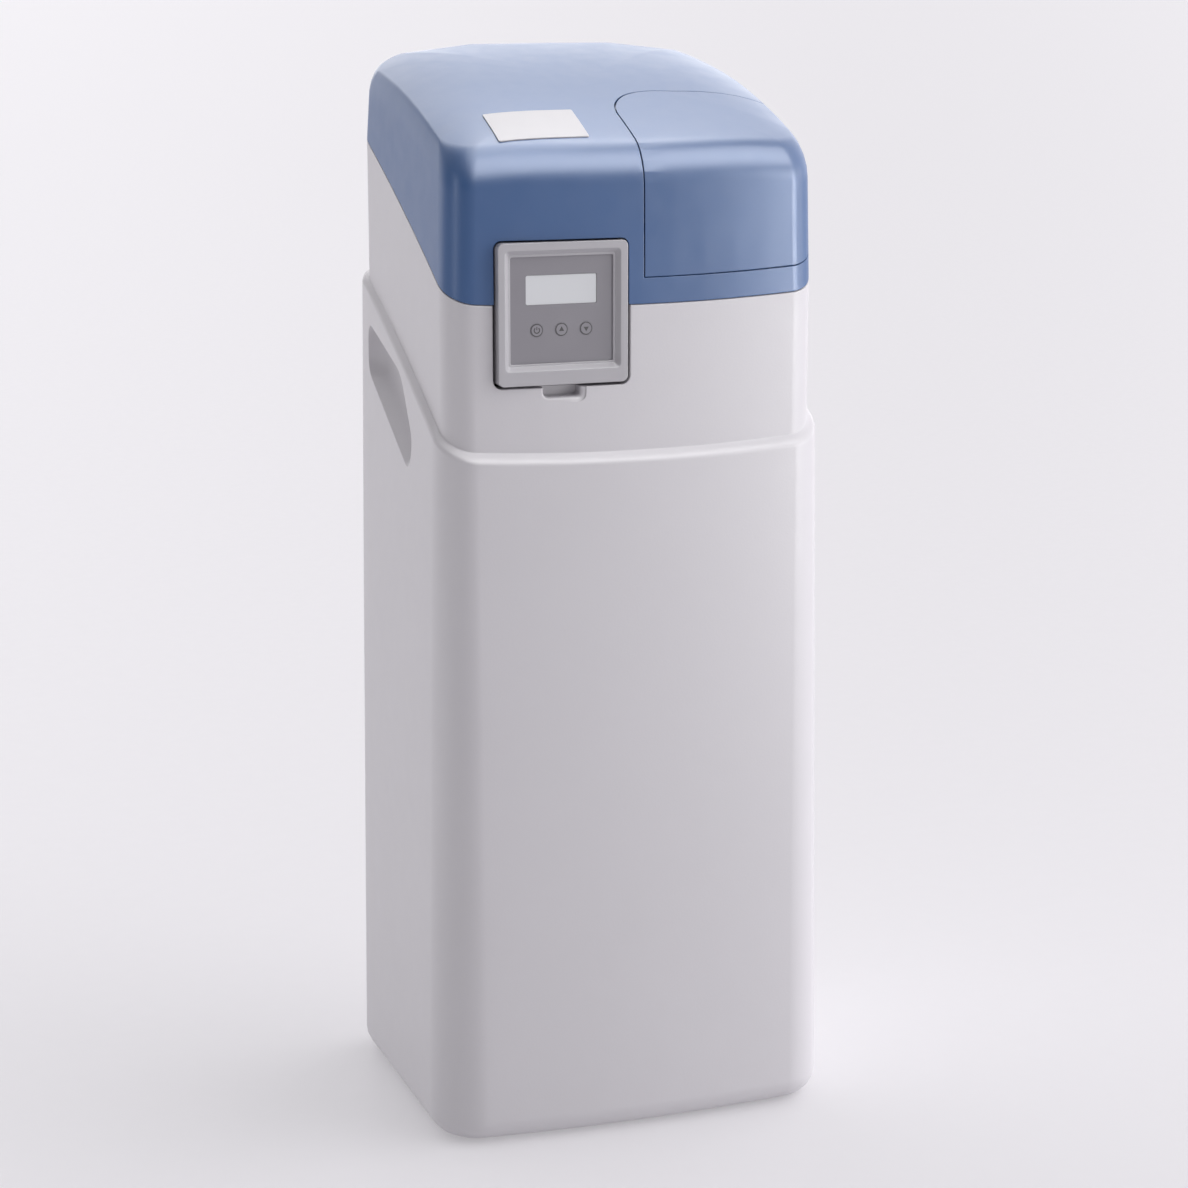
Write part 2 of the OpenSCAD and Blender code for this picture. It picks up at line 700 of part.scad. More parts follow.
// Hinge of the flap: curved arms reach under the lid's edge to pins between pairs of ears
arms_x = [flap_left + arm_in, cabinet_w / 2 - neck_step - arm_out];
hinge_y = flap_back + hinge_back;
hinge_z = lid_z(arms_x[1], hinge_y) - hinge_drop;
hinge_tilt = atan((lid_z(0, hinge_y) - lid_z(0, flap_back)) / hinge_back);
edge_drop = lid_z(flap_left + flap_corner_r, hinge_y) - hinge_z;
arm_clear = 2;
arm_depth = 7;
hub_wall = 3.5;
arm_r_in = norm([hinge_back, edge_drop]) + arm_clear;
arm_r_out = arm_r_in + arm_depth;
hub_r = hinge_pin_d / 2 + hub_wall;
web_w = 1.4 * hub_r;
pin_hole_d = hinge_pin_d + 2 * run_gap;
ear_t = 3;

module arm_profile(x) {
    intersection() {
        translate([hinge_y, hinge_z]) {
            circle(hub_r);
            rotate(hinge_tilt) {
                translate([-web_w / 2, -arm_r_out + bite])
                    square([web_w, arm_r_out - bite]);
                intersection() {
                    difference() {
                        circle(arm_r_out);
                        circle(arm_r_in);
                    }
                    translate([-arm_r_out, -arm_r_out])
                        square([arm_r_out + web_w / 2, arm_r_out + edge_drop + flap_t]);
                }
            }
        }
        under_lid(x, flap_t / 2, flap_back - 2 * arm_r_out, hinge_y + 2 * hub_r, hinge_z - 2 * arm_r_out);
    }
}

module hinge_arms() {
    for (x = arms_x)
        difference() {
            sideways(x - arm_t / 2, arm_t)
                arm_profile(x);
            rod_x([x - arm_t, hinge_y, hinge_z], pin_hole_d, 2 * arm_t);
        }
}

module hinge_ears() {
    for (x = arms_x, side = [-1, 1]) {
        near = side * (arm_t / 2 + touch_gap);
        from = x + min(near, near + side * ear_t);
        difference() {
            sideways(from, ear_t) {
                translate([hinge_y, hinge_z])
                    circle(hub_r);
                intersection() {
                    translate([hinge_y - hub_r, hinge_z])
                        square([2 * hub_r, lid_bulge + lid_crown + hinge_drop]);
                    under_lid(x + near, wall / 2, hinge_y - hub_r, hinge_y + hub_r, hinge_z);
                }
            }
            rod_x([from - bite, hinge_y, hinge_z], pin_hole_d, ear_t + 2 * bite);
        }
    }
}

// The skirt stops short of the returns round the control opening
skirt_cut_w = opening_w + 4 * return_t;

module lid_cover() {
    color(lid_blue) {
        difference() {
            union() {
                lid_skin(wall, lid_foot());
                intersection() {
                    opening_return(lid_opening_w, opening_low, opening_high, lid_opening_r,
                        neck_step + lid_draft + wall / 2);
                    above_seam(seam_gap / 2);
                }
            }
            flap_space(flap_gap);
            facing(neck_face - front_bow, return_d + front_bow + bite)
                translate([control_x, (opening_high + opening_low) / 2])
                    rounded(lid_opening_w, opening_high - opening_low, lid_opening_r);
            difference() {
                facing(neck_face - front_bow, return_d + front_bow)
                    translate([control_x - skirt_cut_w / 2, seam_h - 2 * skirt_h])
                        square([skirt_cut_w, 2 * skirt_h + climb(return_back)]);
                above_seam(seam_gap / 2);
            }
        }
        flap_ledges();
        hinge_ears();
    }
}

module salt_flap() {
    color(lid_blue) {
        intersection() {
            lid_skin(flap_t, flap_foot());
            flap_space(0);
        }
        hinge_arms();
    }
}

module hinge_pins() {
    reach = arm_t / 2 + touch_gap + ear_t + bite;
    color(steel)
        for (x = arms_x)
            rod_x([x - reach, hinge_y, hinge_z], hinge_pin_d, 2 * reach);
}

// The badge is a thin plate that follows the lid's top
badge_r = 1.2;
badge_at = [-badge_left, front_edge + badge_reach];
badge_plan = box_ring(badge_w / 2, -badge_d / 2, badge_d / 2, badge_r, 6, 4, 6);
function on_lid(p, up) = [p.x, p.y, lid_z(p.x, p.y) + up];
function badge_ring(share, up) = [for (p = badge_plan) on_lid(badge_at + share * p, up)];

module badge_plate() {
    shares = [0.4, 0.7, 1];
    color(pale_grey)
        skin(on_lid(badge_at, rest_gap), concat([for (s = shares) badge_ring(s, rest_gap)],
            [for (i = [2, 1, 0]) badge_ring(shares[i], badge_t)]), on_lid(badge_at, badge_t));
}

// Control head

bezel_face = neck_face - bezel_proud;
fascia_face = bezel_face + fascia_in;
fascia_rear = fascia_face + fascia_t;
bracket_face = bezel_face + bezel_depth;
bracket_t = 4;
fascia_z = control_z + fascia_up;
button_z = fascia_z - button_down;
display_z = fascia_z + display_up;
inner_w = bezel_w - 2 * bezel_wall;
inner_h = bezel_h - 2 * bezel_wall;
inner_r = bezel_r - bezel_wall;
button_hole_d = button_d + 2 * button_gap;
buttons_x = [control_x - button_pitch, control_x, control_x + button_pitch];
display_r = 1.5;
board_t = 1.6;
board_room = 1;
post_d = 6;
post_len = 8.5;
board_face = fascia_rear + post_len;
switch_w = 6;
switch_h = 4;
screw_d = 4;
screw_core_d = 3;
screw_in = 4;
boss_d = 9;
corners = [for (x = [-1, 1], z = [-1, 1])
    [control_x + x * (inner_w / 2 - screw_in), control_z + z * (inner_h / 2 - screw_in)]];

// The recess in the bezel's face: a slope from the face to a flat lip, then down to the fascia
fascia_r = 1.4;
rim_r = 3;
lip_t = 1.2;
rim_edge = 0.5;
function recess_ring(grow, r, depth) =
    at_height(box_ring(fascia_w / 2 + grow, -fascia_h / 2 - grow, fascia_h / 2 + grow, r, 2, 2, 2), -depth);

module bezel_recess() {
    lip_in = fascia_in - lip_t;
    translate([control_x, bezel_face, fascia_z])
        rotate([90, 0, 0])
            skin([0, 0, -fascia_in - bite], [
                recess_ring(0, fascia_r, fascia_in + bite),
                recess_ring(0, fascia_r, lip_in),
                recess_ring(lip_w, fascia_r + rim_edge, lip_in),
                recess_ring(rim_w - rim_edge, rim_r - rim_edge / 2, rim_edge),
                recess_ring(rim_w, rim_r, 0),
                recess_ring(rim_w, rim_r, -bite),
            ], [0, 0, bite]);
}

module bezel() {
    boss_from = board_face + board_t + bite;
    thread_depth = 12;
    color(bezel_grey)
        difference() {
            union() {
                difference() {
                    facing(bezel_face, bezel_depth)
                        translate([control_x, control_z])
                            rounded(bezel_w, bezel_h, bezel_r);
                    facing(fascia_face, bezel_depth)
                        translate([control_x, control_z])
                            rounded(inner_w, inner_h, inner_r);
                }
                for (c = corners)
                    rod_y([c.x, boss_from, c.y], boss_d, bracket_face - boss_from);
            }
            bezel_recess();
            for (c = corners)
                rod_y([c.x, bracket_face - thread_depth, c.y], screw_core_d, thread_depth + bite);
        }
}

module fascia_panel() {
    color(fascia_grey)
        difference() {
            union() {
                facing(fascia_face, fascia_t)
                    translate([control_x, control_z])
                        rounded(inner_w - 2 * fit, inner_h - 2 * fit, inner_r - fit);
                for (c = corners)
                    rod_y([c.x, fascia_face + bite, c.y], post_d, fascia_t + post_len - bite);
            }
            facing(fascia_face - bite, fascia_t + 2 * bite)
                translate([control_x, display_z])
                    rounded(display_w, display_h, display_r);
            for (x = buttons_x)
                rod_y([x, fascia_face - bite, button_z], button_hole_d, fascia_t + 2 * bite);
        }
}

module display_window() {
    color(display_pale)
        facing(fascia_face + touch_gap, fascia_t - touch_gap)
            translate([control_x, display_z])
                rounded(display_w - 2 * fit, display_h - 2 * fit, display_r - fit);
}

module circuit_board() {
    display_block = [display_w + switch_w, display_h - 2 * board_room];
    plug = [34, 8, 5];
    plug_up = 9;
    color(board_green) {
        facing(board_face, board_t)
            translate([control_x, control_z])
                rounded(inner_w - 2 * board_room, inner_h - 2 * board_room, inner_r);
        facing(fascia_rear, post_len)
            translate([control_x, display_z])
                square(display_block, center = true);
        for (x = buttons_x)
            facing(board_face - switch_h, switch_h)
                translate([x, button_z])
                    square(switch_w, center = true);
        facing(board_face + board_t, plug.z)
            translate([control_x, control_z - inner_h / 2 + plug_up])
                square([plug.x, plug.y], center = true);
    }
}

// A button: a cap in its hole, a flange behind the fascia and a stem that stops short of its switch
module button(x) {
    lip_w = 1;
    stem_d = 5;
    stem_end = board_face - switch_h - button_travel - fit;
    color(fascia_grey) {
        rod_y([x, fascia_face - button_proud, button_z], button_d, button_proud + fascia_t);
        rod_y([x, fascia_rear, button_z], button_hole_d + 2 * lip_w, lip_w);
        rod_y([x, fascia_rear, button_z], stem_d, stem_end - fascia_rear);
    }
}

module power_button() button(buttons_x[0]);
module up_button() button(buttons_x[1]);
module down_button() button(buttons_x[2]);

// Drive: motor pinion, reduction gear and drive gear, one above the other
valve_z = control_z - valve_down;
drive_pitch_r = gear_module * drive_teeth / 2;
pinion_pitch_r = gear_module * pinion_teeth / 2;
wheel_pitch_r = gear_module * wheel_teeth / 2;
reduction_z = valve_z + drive_pitch_r + pinion_pitch_r;
motor_z = reduction_z + wheel_pitch_r + pinion_pitch_r;
gear_room = 6;
drive_y = bracket_face - gear_room - gear_t;
wheel_t = gear_t - 1;
wheel_y = drive_y - touch_gap - gear_room - wheel_t;
hub_d = 2 * rod_d;
collar_w = 3;
axle_d = 5;
axle_end = 2;
shaft_d = 3;
shaft_room = 2;

// An involute gear seen along its axis, with a tooth on the X axis
pressure = 20;
tooth_tip = 0.85;
tooth_root = 1.2;
function involute(a) = tan(a) * 180 / PI - a;
module gear_outline(teeth) {
    pitch_r = gear_module * teeth / 2;
    base_r = pitch_r * cos(pressure);
    tip_r = pitch_r + tooth_tip * gear_module;
    root_r = pitch_r - tooth_root * gear_module;
    half = 90 / teeth - gear_play / 2 / pitch_r * 180 / PI;
    low_r = max(base_r, root_r);
    steps = 3;
    flank = [for (i = [0 : steps]) let (r = low_r + (tip_r - low_r) * i / steps)
        [r, half + involute(pressure) - involute(acos(min(1, base_r / r)))]];
    tooth = concat([[root_r, -flank[0][1] - 1 / teeth]], [for (f = flank) [f[0], -f[1]]],
        [for (i = [steps : -1 : 0]) flank[i]], [[root_r, flank[0][1] + 1 / teeth]]);
    polygon([for (k = [0 : teeth - 1], t = tooth)
        t[0] * [cos(t[1] + 360 * k / teeth), sin(t[1] + 360 * k / teeth)]]);
}

module gear(y, z, teeth, thick, phase) {
    facing(y, thick)
        translate([control_x, z])
            rotate(phase)
                gear_outline(teeth);
}

tooth_up = 90;
gap_down = 270 + 180 / pinion_teeth;

module drive_bracket() {
    color(valve_black)
        difference() {
            union() {
                facing(bracket_face, bracket_t)
                    translate([control_x, control_z])
                        rounded(bezel_w - 2 * bite, bezel_h - 2 * bite, bezel_r - bite);
                rod_y([control_x, wheel_y - axle_end, reduction_z], axle_d,
                    bracket_face - wheel_y + axle_end + bite);
                rod_y([control_x, drive_y + gear_t + touch_gap, reduction_z], axle_d + 2 * collar_w,
                    gear_room - touch_gap + bite);
            }
            rod_y([control_x, bracket_face - bite, valve_z], hub_d + 2 * run_gap, bracket_t + 2 * bite);
            rod_y([control_x, bracket_face - bite, motor_z], shaft_d + 2 * shaft_room,
                bracket_t + 2 * bite);
            for (c = corners)
                rod_y([c.x, bracket_face - bite, c.y], screw_d + 2 * fit, bracket_t + 2 * bite);
        }
}

module drive_motor() {
    motor_y = bracket_face + bracket_t;
    bearing_d = motor_d / 3;
    bearing_t = 3;
    color(steel) {
        rod_y([control_x, motor_y, motor_z], motor_d, motor_len);
        rod_y([control_x, motor_y + motor_len, motor_z], bearing_d, bearing_t);
        rod_y([control_x, wheel_y - bite, motor_z], shaft_d, motor_y + 2 * bite - wheel_y);
    }
}

module motor_pinion() {
    color(gear_white)
        difference() {
            gear(wheel_y, motor_z, pinion_teeth, wheel_t + bite, gap_down);
            rod_y([control_x, wheel_y - bite, motor_z], shaft_d + 2 * run_gap, wheel_t + 3 * bite);
        }
}

module reduction_gear() {
    pinion_y = wheel_y + wheel_t - bite;
    color(gear_white)
        difference() {
            union() {
                gear(wheel_y, reduction_z, wheel_teeth, wheel_t, tooth_up);
                gear(pinion_y, reduction_z, pinion_teeth, drive_y + gear_t - pinion_y, gap_down);
            }
            rod_y([control_x, wheel_y - bite, reduction_z], axle_d + 2 * run_gap, bracket_face - wheel_y);
        }
}

module drive_gear() {
    lightening = 6;
    hole_d = 7;
    hole_r = (hub_d / 2 + collar_w + drive_pitch_r) / 2;
    color(gear_white)
        difference() {
            union() {
                gear(drive_y, valve_z, drive_teeth, gear_t, tooth_up);
                rod_y([control_x, drive_y, valve_z], hub_d + 2 * collar_w,
                    bracket_face - drive_y - touch_gap);
                rod_y([control_x, drive_y, valve_z], hub_d, bracket_face + bracket_t - drive_y - bite);
            }
            rod_y([control_x, drive_y - bite, valve_z], rod_d + 2 * run_gap, bezel_depth);
            for (i = [0 : lightening - 1]) {
                a = 360 * i / lightening;
                rod_y([control_x + hole_r * cos(a), drive_y - bite, valve_z + hole_r * sin(a)], hole_d,
                    gear_t + 2 * bite);
            }
        }
}

module bezel_screws() {
    screw_len = 10;
    head_d = 7;
    head_t = 2.4;
    color(steel)
        for (c = corners) {
            rod_y([c.x, bracket_face - screw_len, c.y], screw_core_d - 2 * fit,
                screw_len + bracket_t + bite);
            rod_y([c.x, bracket_face + bracket_t, c.y], head_d, head_t);
        }
}

// Valve

valve_face = bracket_face + bracket_t;
barrel_len = 122;
barrel_end_t = 11;
flange_w = 4;
flange_t = 6;
tank_y = tank_back;
neck_room = 45;
neck_top = valve_z - barrel_d / 2 - neck_room;
tank_top = neck_top - tank_neck_h;
adaptor_wall = 10;
adaptor_d = tank_neck_d + 2 * adaptor_wall;
adaptor_low = tank_top + touch_gap;
o_ring_d = 3.6;
ports_x = [control_x - port_pitch / 2, control_x + port_pitch / 2];
port_back = 34;
port_end = back_y - wall - port_back;
port_lip = 3;
port_lip_t = 5;
port_closed = 12;
side_pitch = 44;
injector_y = tank_y - side_pitch / 2;
brine_y = tank_y + side_pitch / 2;
boss_reach = 18;
boss_end = control_x + barrel_d / 2 + boss_reach;
injector_boss_d = 30;
brine_boss_d = 18;
drain_back = 14;
drain_y = tank_y + drain_back;
drain_rise = 10;
drain_top = valve_z + barrel_d / 2 + drain_rise;
drain_boss_d = 24;
spigot_d = 10;
spigot_len = 10;
socket_len = 14;

module valve_body() {
    color(valve_black)
        difference() {
            union() {
                rod_y([control_x, valve_face, valve_z], barrel_d, barrel_len);
                rod_y([control_x, valve_face, valve_z], barrel_d + 2 * flange_w, flange_t);
                rod_z([control_x, tank_y, adaptor_low], adaptor_d,
                    valve_z - adaptor_low - (barrel_d - port_d) / 2);
                for (x = ports_x) {
                    rod_y([x, tank_y, port_z], port_d, port_end - tank_y);
                    rod_y([x, port_end - port_lip_t, port_z], port_d + 2 * port_lip, port_lip_t);
                }
                rod_x([control_x, injector_y, valve_z], injector_boss_d, boss_end - control_x);
                rod_x([control_x, brine_y, valve_z], brine_boss_d, boss_end - control_x);
                rod_z([control_x, drain_y, valve_z], drain_boss_d, drain_top - valve_z);
            }
            rod_y([control_x, valve_face - bite, valve_z], barrel_bore, barrel_len - barrel_end_t - bite);
            rod_z([control_x, tank_y, adaptor_low - bite], tank_neck_d + 2 * fit,
                neck_top - adaptor_low + o_ring_d + bite);
            rod_z([control_x, tank_y, adaptor_low], riser_d + 2 * fit, riser_top - adaptor_low + touch_gap);
            for (x = ports_x)
                rod_y([x, tank_y + port_closed, port_z], port_bore, port_end - tank_y);
            rod_x([boss_end - socket_len, brine_y, valve_z], spigot_d, socket_len + bite);
            rod_z([control_x, drain_y, drain_top - socket_len], spigot_d, socket_len + bite);
        }
}

// Seal stack: seals and spacers alternate along the bore
seals = 6;
seal_t = 6;
stack_room = 3;
stack_from = valve_face + stack_room;
stack_len = barrel_len - barrel_end_t - 4 * stack_room - bite;
spacer_t = 3;

module seal_stack() {
    space = (stack_len - seals * seal_t) / (seals - 1);
    color(seal_black)
        translate([control_x, stack_from, valve_z])
            rotate([-90, 0, 0])
                rotate_extrude()
                    difference() {
                        translate([piston_d / 2 + run_gap, 0])
                            square([(barrel_bore - piston_d) / 2 - run_gap - fit, stack_len]);
                        for (i = [0 : seals - 2])
                            translate([0, seal_t + i * (seal_t + space)])
                                square([barrel_bore / 2 - spacer_t, space]);
                    }
}

// Piston: a waisted spool on a threaded rod that the drive gear draws forward
piston_len = stack_len - piston_stroke - 2 * stack_room;
piston_rear = stack_from + stack_len - stack_room;

module piston() {
    front = piston_rear - piston_len;
    rod_front = drive_y - stack_room;
    land = 12;
    waist = 4;
    color(piston_cream) {
        rod_y([control_x, front, valve_z], piston_d - 2 * waist, piston_len);
        for (k = [0 : 2])
            rod_y([control_x, front + k * (piston_len - land) / 2, valve_z], piston_d, land);
        rod_y([control_x, rod_front, valve_z], rod_d, front - rod_front + bite);
    }
}

// A hexagon along +X, for a spanner
module hex_x(at, d, len) {
    translate(at)
        rotate([0, 90, 0])
            cylinder(d = d, h = len, $fn = 6);
}

module injector_cap() {
    cap_w = 2;
    cap_len = 5;
    key_d = 24;
    key_len = 6;
    color(strainer_grey) {
        rod_x([boss_end, injector_y, valve_z], injector_boss_d + 2 * cap_w, cap_len);
        hex_x([boss_end + cap_len - bite, injector_y, valve_z], key_d, key_len + bite);
    }
}

// Brine elbow: a spigot in its boss and a compression nut
elbow_len = 8;
line_stop = 4;
nut_d = 20;
nut_len = 12;

module brine_elbow() {
    color(pale_grey)
        difference() {
            union() {
                rod_x([boss_end - spigot_len, brine_y, valve_z], spigot_d - 2 * fit, spigot_len + bite);
                rod_x([boss_end, brine_y, valve_z], brine_boss_d - bite, elbow_len);
                hex_x([boss_end + elbow_len - bite, brine_y, valve_z], nut_d, nut_len + bite);
            }
            rod_x([boss_end + line_stop, brine_y, valve_z], line_d + 2 * fit, elbow_len + nut_len);
        }
}

// A barbed tail along +Y
barb_rings = 3;
barb_step = 1.2;
barb_root = 1;
barb_wall = 3;

module barb(at, len, d) {
    pitch = len / (barb_rings + 2);
    rod_y(at, d - 2 * barb_root, len);
    for (i = [1 : barb_rings])
        translate(at + [0, len - i * pitch, 0])
            rotate([-90, 0, 0])
                cylinder(d1 = d, d2 = d - 2 * barb_step, h = pitch);
}

module drain_elbow() {
    body_d = 20;
    body_h = 18;
    arm_d = 15;
    arm_len = 16;
    barb_len = 36;
    z = drain_top + body_h / 2 + bite;
    color(pale_grey)
        difference() {
            union() {
                rod_z([control_x, drain_y, drain_top - spigot_len], spigot_d - 2 * fit, spigot_len + bite);
                rod_z([control_x, drain_y, drain_top], body_d, body_h);
                rod_y([control_x, drain_y, z], arm_d, arm_len);
                barb([control_x, drain_y + arm_len - bite, z], barb_len, barb_d);
            }
            rod_y([control_x, drain_y, z], barb_d - 2 * barb_wall, arm_len + barb_len);
        }
}

// Pipe connectors: a spigot in the port, a coupling nut, a hexagon and a pipe thread
thread_end = back_y + thread_out;
thread_from = thread_end - thread_len;
hex_len = 8;
hex_w = 3;
union_len = 12;
pipe_wall = 2.5;
pipe_bore = port_bore - 2 * pipe_wall;

module connector(x) {
    difference() {
        union() {
            rod_y([x, port_end - socket_len, port_z], port_bore - 2 * fit, socket_len + bite);
            rod_y([x, port_end, port_z], port_d + 2 * port_lip - 2 * bite, union_len);
            rod_y([x, port_end, port_z], thread_d - 2 * bite, thread_from - port_end);
            translate([x, thread_from - hex_len, port_z])
                rotate([-90, 0, 0])
                    cylinder(d = thread_d + 2 * hex_w, h = hex_len, $fn = 6);
            rod_y([x, thread_from, port_z], thread_d, thread_len);
        }
        rod_y([x, port_end - socket_len - bite, port_z], pipe_bore, far);
    }
}

module inlet_connector() {
    color(valve_black)
        connector(ports_x[0]);
}

// The outlet connector also holds the axle of the flow turbine
turbine_y = port_end + socket_len + 2 * bite;
turbine_len = 10;
turbine_axle_d = 2;
turbine_hub_d = 6;
blades = 6;
blade_t = 1.2;

module outlet_connector() {
    stay = 2;
    stay_y = turbine_y - stay - bite;
    color(valve_black) {
        connector(ports_x[1]);
        for (a = [0, 90])
            intersection() {
                translate([ports_x[1], stay_y, port_z])
                    rotate([0, a, 0])
                        translate([-stay / 2, 0, -port_d / 2])
                            cube([stay, stay, port_d]);
                rod_y([ports_x[1], stay_y - bite, port_z], pipe_bore + bite, stay + 2 * bite);
            }
        rod_y([ports_x[1], stay_y + bite, port_z], turbine_axle_d, stay + turbine_len + bite);
    }
}

module flow_turbine() {
    tip_d = pipe_bore - 2 * touch_gap;
    root = turbine_hub_d / 2 - bite;
    color(gear_white)
        difference() {
            union() {
                rod_y([ports_x[1], turbine_y, port_z], turbine_hub_d, turbine_len);
                for (i = [0 : blades - 1])
                    translate([ports_x[1], turbine_y + bite, port_z])
                        rotate([0, 360 * i / blades, 0])
                            translate([-blade_t / 2, 0, root])
                                cube([blade_t, turbine_len - 2 * bite, tip_d / 2 - root]);
            }
            rod_y([ports_x[1], turbine_y - bite, port_z], turbine_axle_d + 2 * run_gap,
                turbine_len + 2 * bite);
        }
}

// Resin tank and what it holds

boot_t = 8;
tank_low = floor_t + boot_t;
dome_h = tank_d / 3;
foot_turn = 80;

module on_tank_axis(z) {
    translate([control_x, tank_y, z])
        children();
}

// Half of the tank's section: domed ends and a straight neck
dome_n = 8;
function dome(r, z_mid, rise, from, to) = [for (i = [0 : dome_n]) let (a = from + (to - from) * i / dome_n)
    [r * cos(a), z_mid + rise * sin(a)]];
module tank_half(less) {
    r = tank_d / 2 - less;
    neck = tank_neck_d / 2 - less;
    polygon(concat([[0, tank_low + less]], dome(r, tank_low + dome_h, dome_h - less, -foot_turn, 0),
        dome(r, tank_top - dome_h, dome_h - less, 0, acos(neck / r)),
        [[neck, neck_top + bite * sign(less)], [0, neck_top + bite * sign(less)]]));
}

module resin_tank() {
    color(tank_blue)
        translate([control_x, tank_y, 0])
            rotate_extrude()
                difference() {
                    tank_half(0);
                    tank_half(tank_wall);
                }
}

module tank_boot() {
    rim = 34;
    boot_wall = 4;
    color(valve_black)
        translate([control_x, tank_y, 0])
            rotate_extrude()
                difference() {
                    translate([0, floor_t])
                        square([tank_d / 2 + boot_wall, boot_t + rim]);
                    tank_room();
                }
}

// The tank's lower end with a little room round it
module tank_room() {
    r = tank_d / 2 + fit;
    polygon(concat([[0, tank_low]], dome(r, tank_low + dome_h, dome_h, -foot_turn, 0),
        [[r, tank_top], [0, tank_top]]));
}

module resin_bed() {
    color(resin_amber)
        translate([control_x, tank_y, 0])
            rotate_extrude()
                difference() {
                    intersection() {
                        tank_half(tank_wall + rest_gap);
                        square([tank_d, tank_low + tank_wall + resin_h]);
                    }
                    square([strainer_d / 2 + touch_gap, strainer_low + strainer_h + touch_gap]);
                    square([riser_d / 2 + touch_gap, neck_top]);
                }
}

// The bottom strainer stands in the tank's lower dome, where the dome is as wide as the strainer
strainer_d = 50;
strainer_h = 60;
strainer_low = tank_low + dome_h + rest_gap
    - (dome_h - tank_wall) * sqrt(1 - pow(strainer_d / (tank_d - 2 * tank_wall), 2)) + fit;
riser_wall = 2.5;
riser_socket = 15;
riser_low = strainer_low + strainer_h - riser_socket;
riser_top = valve_z - barrel_d / 2 - riser_socket / 2;

module riser_tube() {
    color(pale_grey)
        on_tank_axis(riser_low)
            difference() {
                cylinder(d = riser_d, h = riser_top - riser_low);
                translate([0, 0, -bite])
                    cylinder(d = riser_d - 2 * riser_wall, h = riser_top);
            }
}

// A slotted basket: ribs stand round a core
module basket(d, bore, h, ribs) {
    rim = 5;
    slot_depth = 4;
    rib_t = 2;
    difference() {
        union() {
            for (z = [0, h - rim])
                translate([0, 0, z])
                    cylinder(d = d, h = rim);
            cylinder(d = d - 2 * slot_depth, h = h);
            for (i = [0 : ribs - 1])
                rotate(360 * i / ribs)
                    translate([d / 2 - slot_depth - rib_t, -rib_t / 2, 0])
                        cube([slot_depth + rib_t - bite / 2, rib_t, h]);
        }
        translate([0, 0, h - riser_socket])
            cylinder(d = bore, h = riser_socket + bite);
    }
}

module bottom_strainer() {
    color(strainer_grey)
        on_tank_axis(strainer_low)
            basket(strainer_d, riser_d + 2 * fit, strainer_h, 16);
}

module top_strainer() {
    h = 40;
    neck_clear = 2;
    color(strainer_grey)
        on_tank_axis(neck_top + o_ring_d - h)
            difference() {
                basket(tank_neck_d - 2 * tank_wall - 2 * neck_clear, riser_d + 2 * fit, h, 14);
                translate([0, 0, -bite])
                    cylinder(d = riser_d + 2 * fit, h = h + 2 * bite);
            }
}

module tank_o_ring() {
    color(valve_black)
        on_tank_axis(neck_top + o_ring_d / 2)
            rotate_extrude()
                translate([tank_neck_d / 2 - tank_wall / 2, 0])
                    circle(d = o_ring_d);
}

// Brine side

well_in = wall + base_r - floor_t + well_gap + well_d / 2;
well_x = cabinet_w / 2 - well_in;
well_y = cabinet_d / 2 - well_in;
well_top = floor_t + well_h;

// The platform's drain holes lie on a grid, clear of the tank, the well and the walls
platform_in = wall + 2;
tank_room_w = 7;
well_room_w = 1.5;
drain_d = 9;
drain_pitch = 22;
drain_rim = 14;
drain_holes = [
    for (i = [-6 : 6], j = [-4 : 4])
        let (p = drain_pitch * [i, j])
        let (from_tank = norm(p - [control_x, tank_y]) - tank_d / 2 - tank_room_w)
        let (from_well = norm(p - [well_x, well_y]) - well_d / 2 - well_room_w)
        let (from_wall = min(cabinet_w / 2 - abs(p.x), cabinet_d / 2 - abs(p.y)) - platform_in)
        if (min(from_tank, from_well, from_wall) > drain_rim)
            p
];
leg_in = platform_in + corner_r;
platform_legs = [
    for (x = [-1, 1], y = [-1, 1])
        if (x < 0 || y < 0)
            [x * (cabinet_w / 2 - leg_in), y * (cabinet_d / 2 - leg_in)]
];

module salt_platform() {
    leg_d = 14;
    color(shell_grey) {
        difference() {
            translate([0, 0, platform_h - platform_t])
                linear_extrude(platform_t)
                    polygon(leaning_ring(platform_h, platform_in, body_r(platform_h) - platform_in));
            rod_z([control_x, tank_y, 0], tank_d + 2 * tank_room_w, far);
            rod_z([well_x, well_y, 0], well_d + 2 * well_room_w, far);
            for (p = drain_holes)
                rod_z([p.x, p.y, 0], drain_d, far);
        }
        for (p = platform_legs)
            rod_z([p.x, p.y, floor_t], leg_d, platform_h - floor_t - platform_t + bite);
    }
}

module brine_well() {
    slots = 8;
    slot_w = 4;
    slot_h = 22;
    slot_up = 12;
    color(shell_grey)
        difference() {
            rod_z([well_x, well_y, floor_t], well_d, well_h);
            rod_z([well_x, well_y, floor_t - bite], well_d - 2 * well_wall, well_h + 2 * bite);
            for (i = [0 : slots - 1])
                translate([well_x, well_y, floor_t + slot_up])
                    rotate(360 * (i + 0.5) / slots)
                        translate([0, -slot_w / 2, 0])
                            cube([well_d, slot_w, slot_h]);
        }
}

cap_t = 3;
cap_lip = 2;
plug_h = 10;
pickup_up = 26;
pickup_top = well_top + pickup_up;

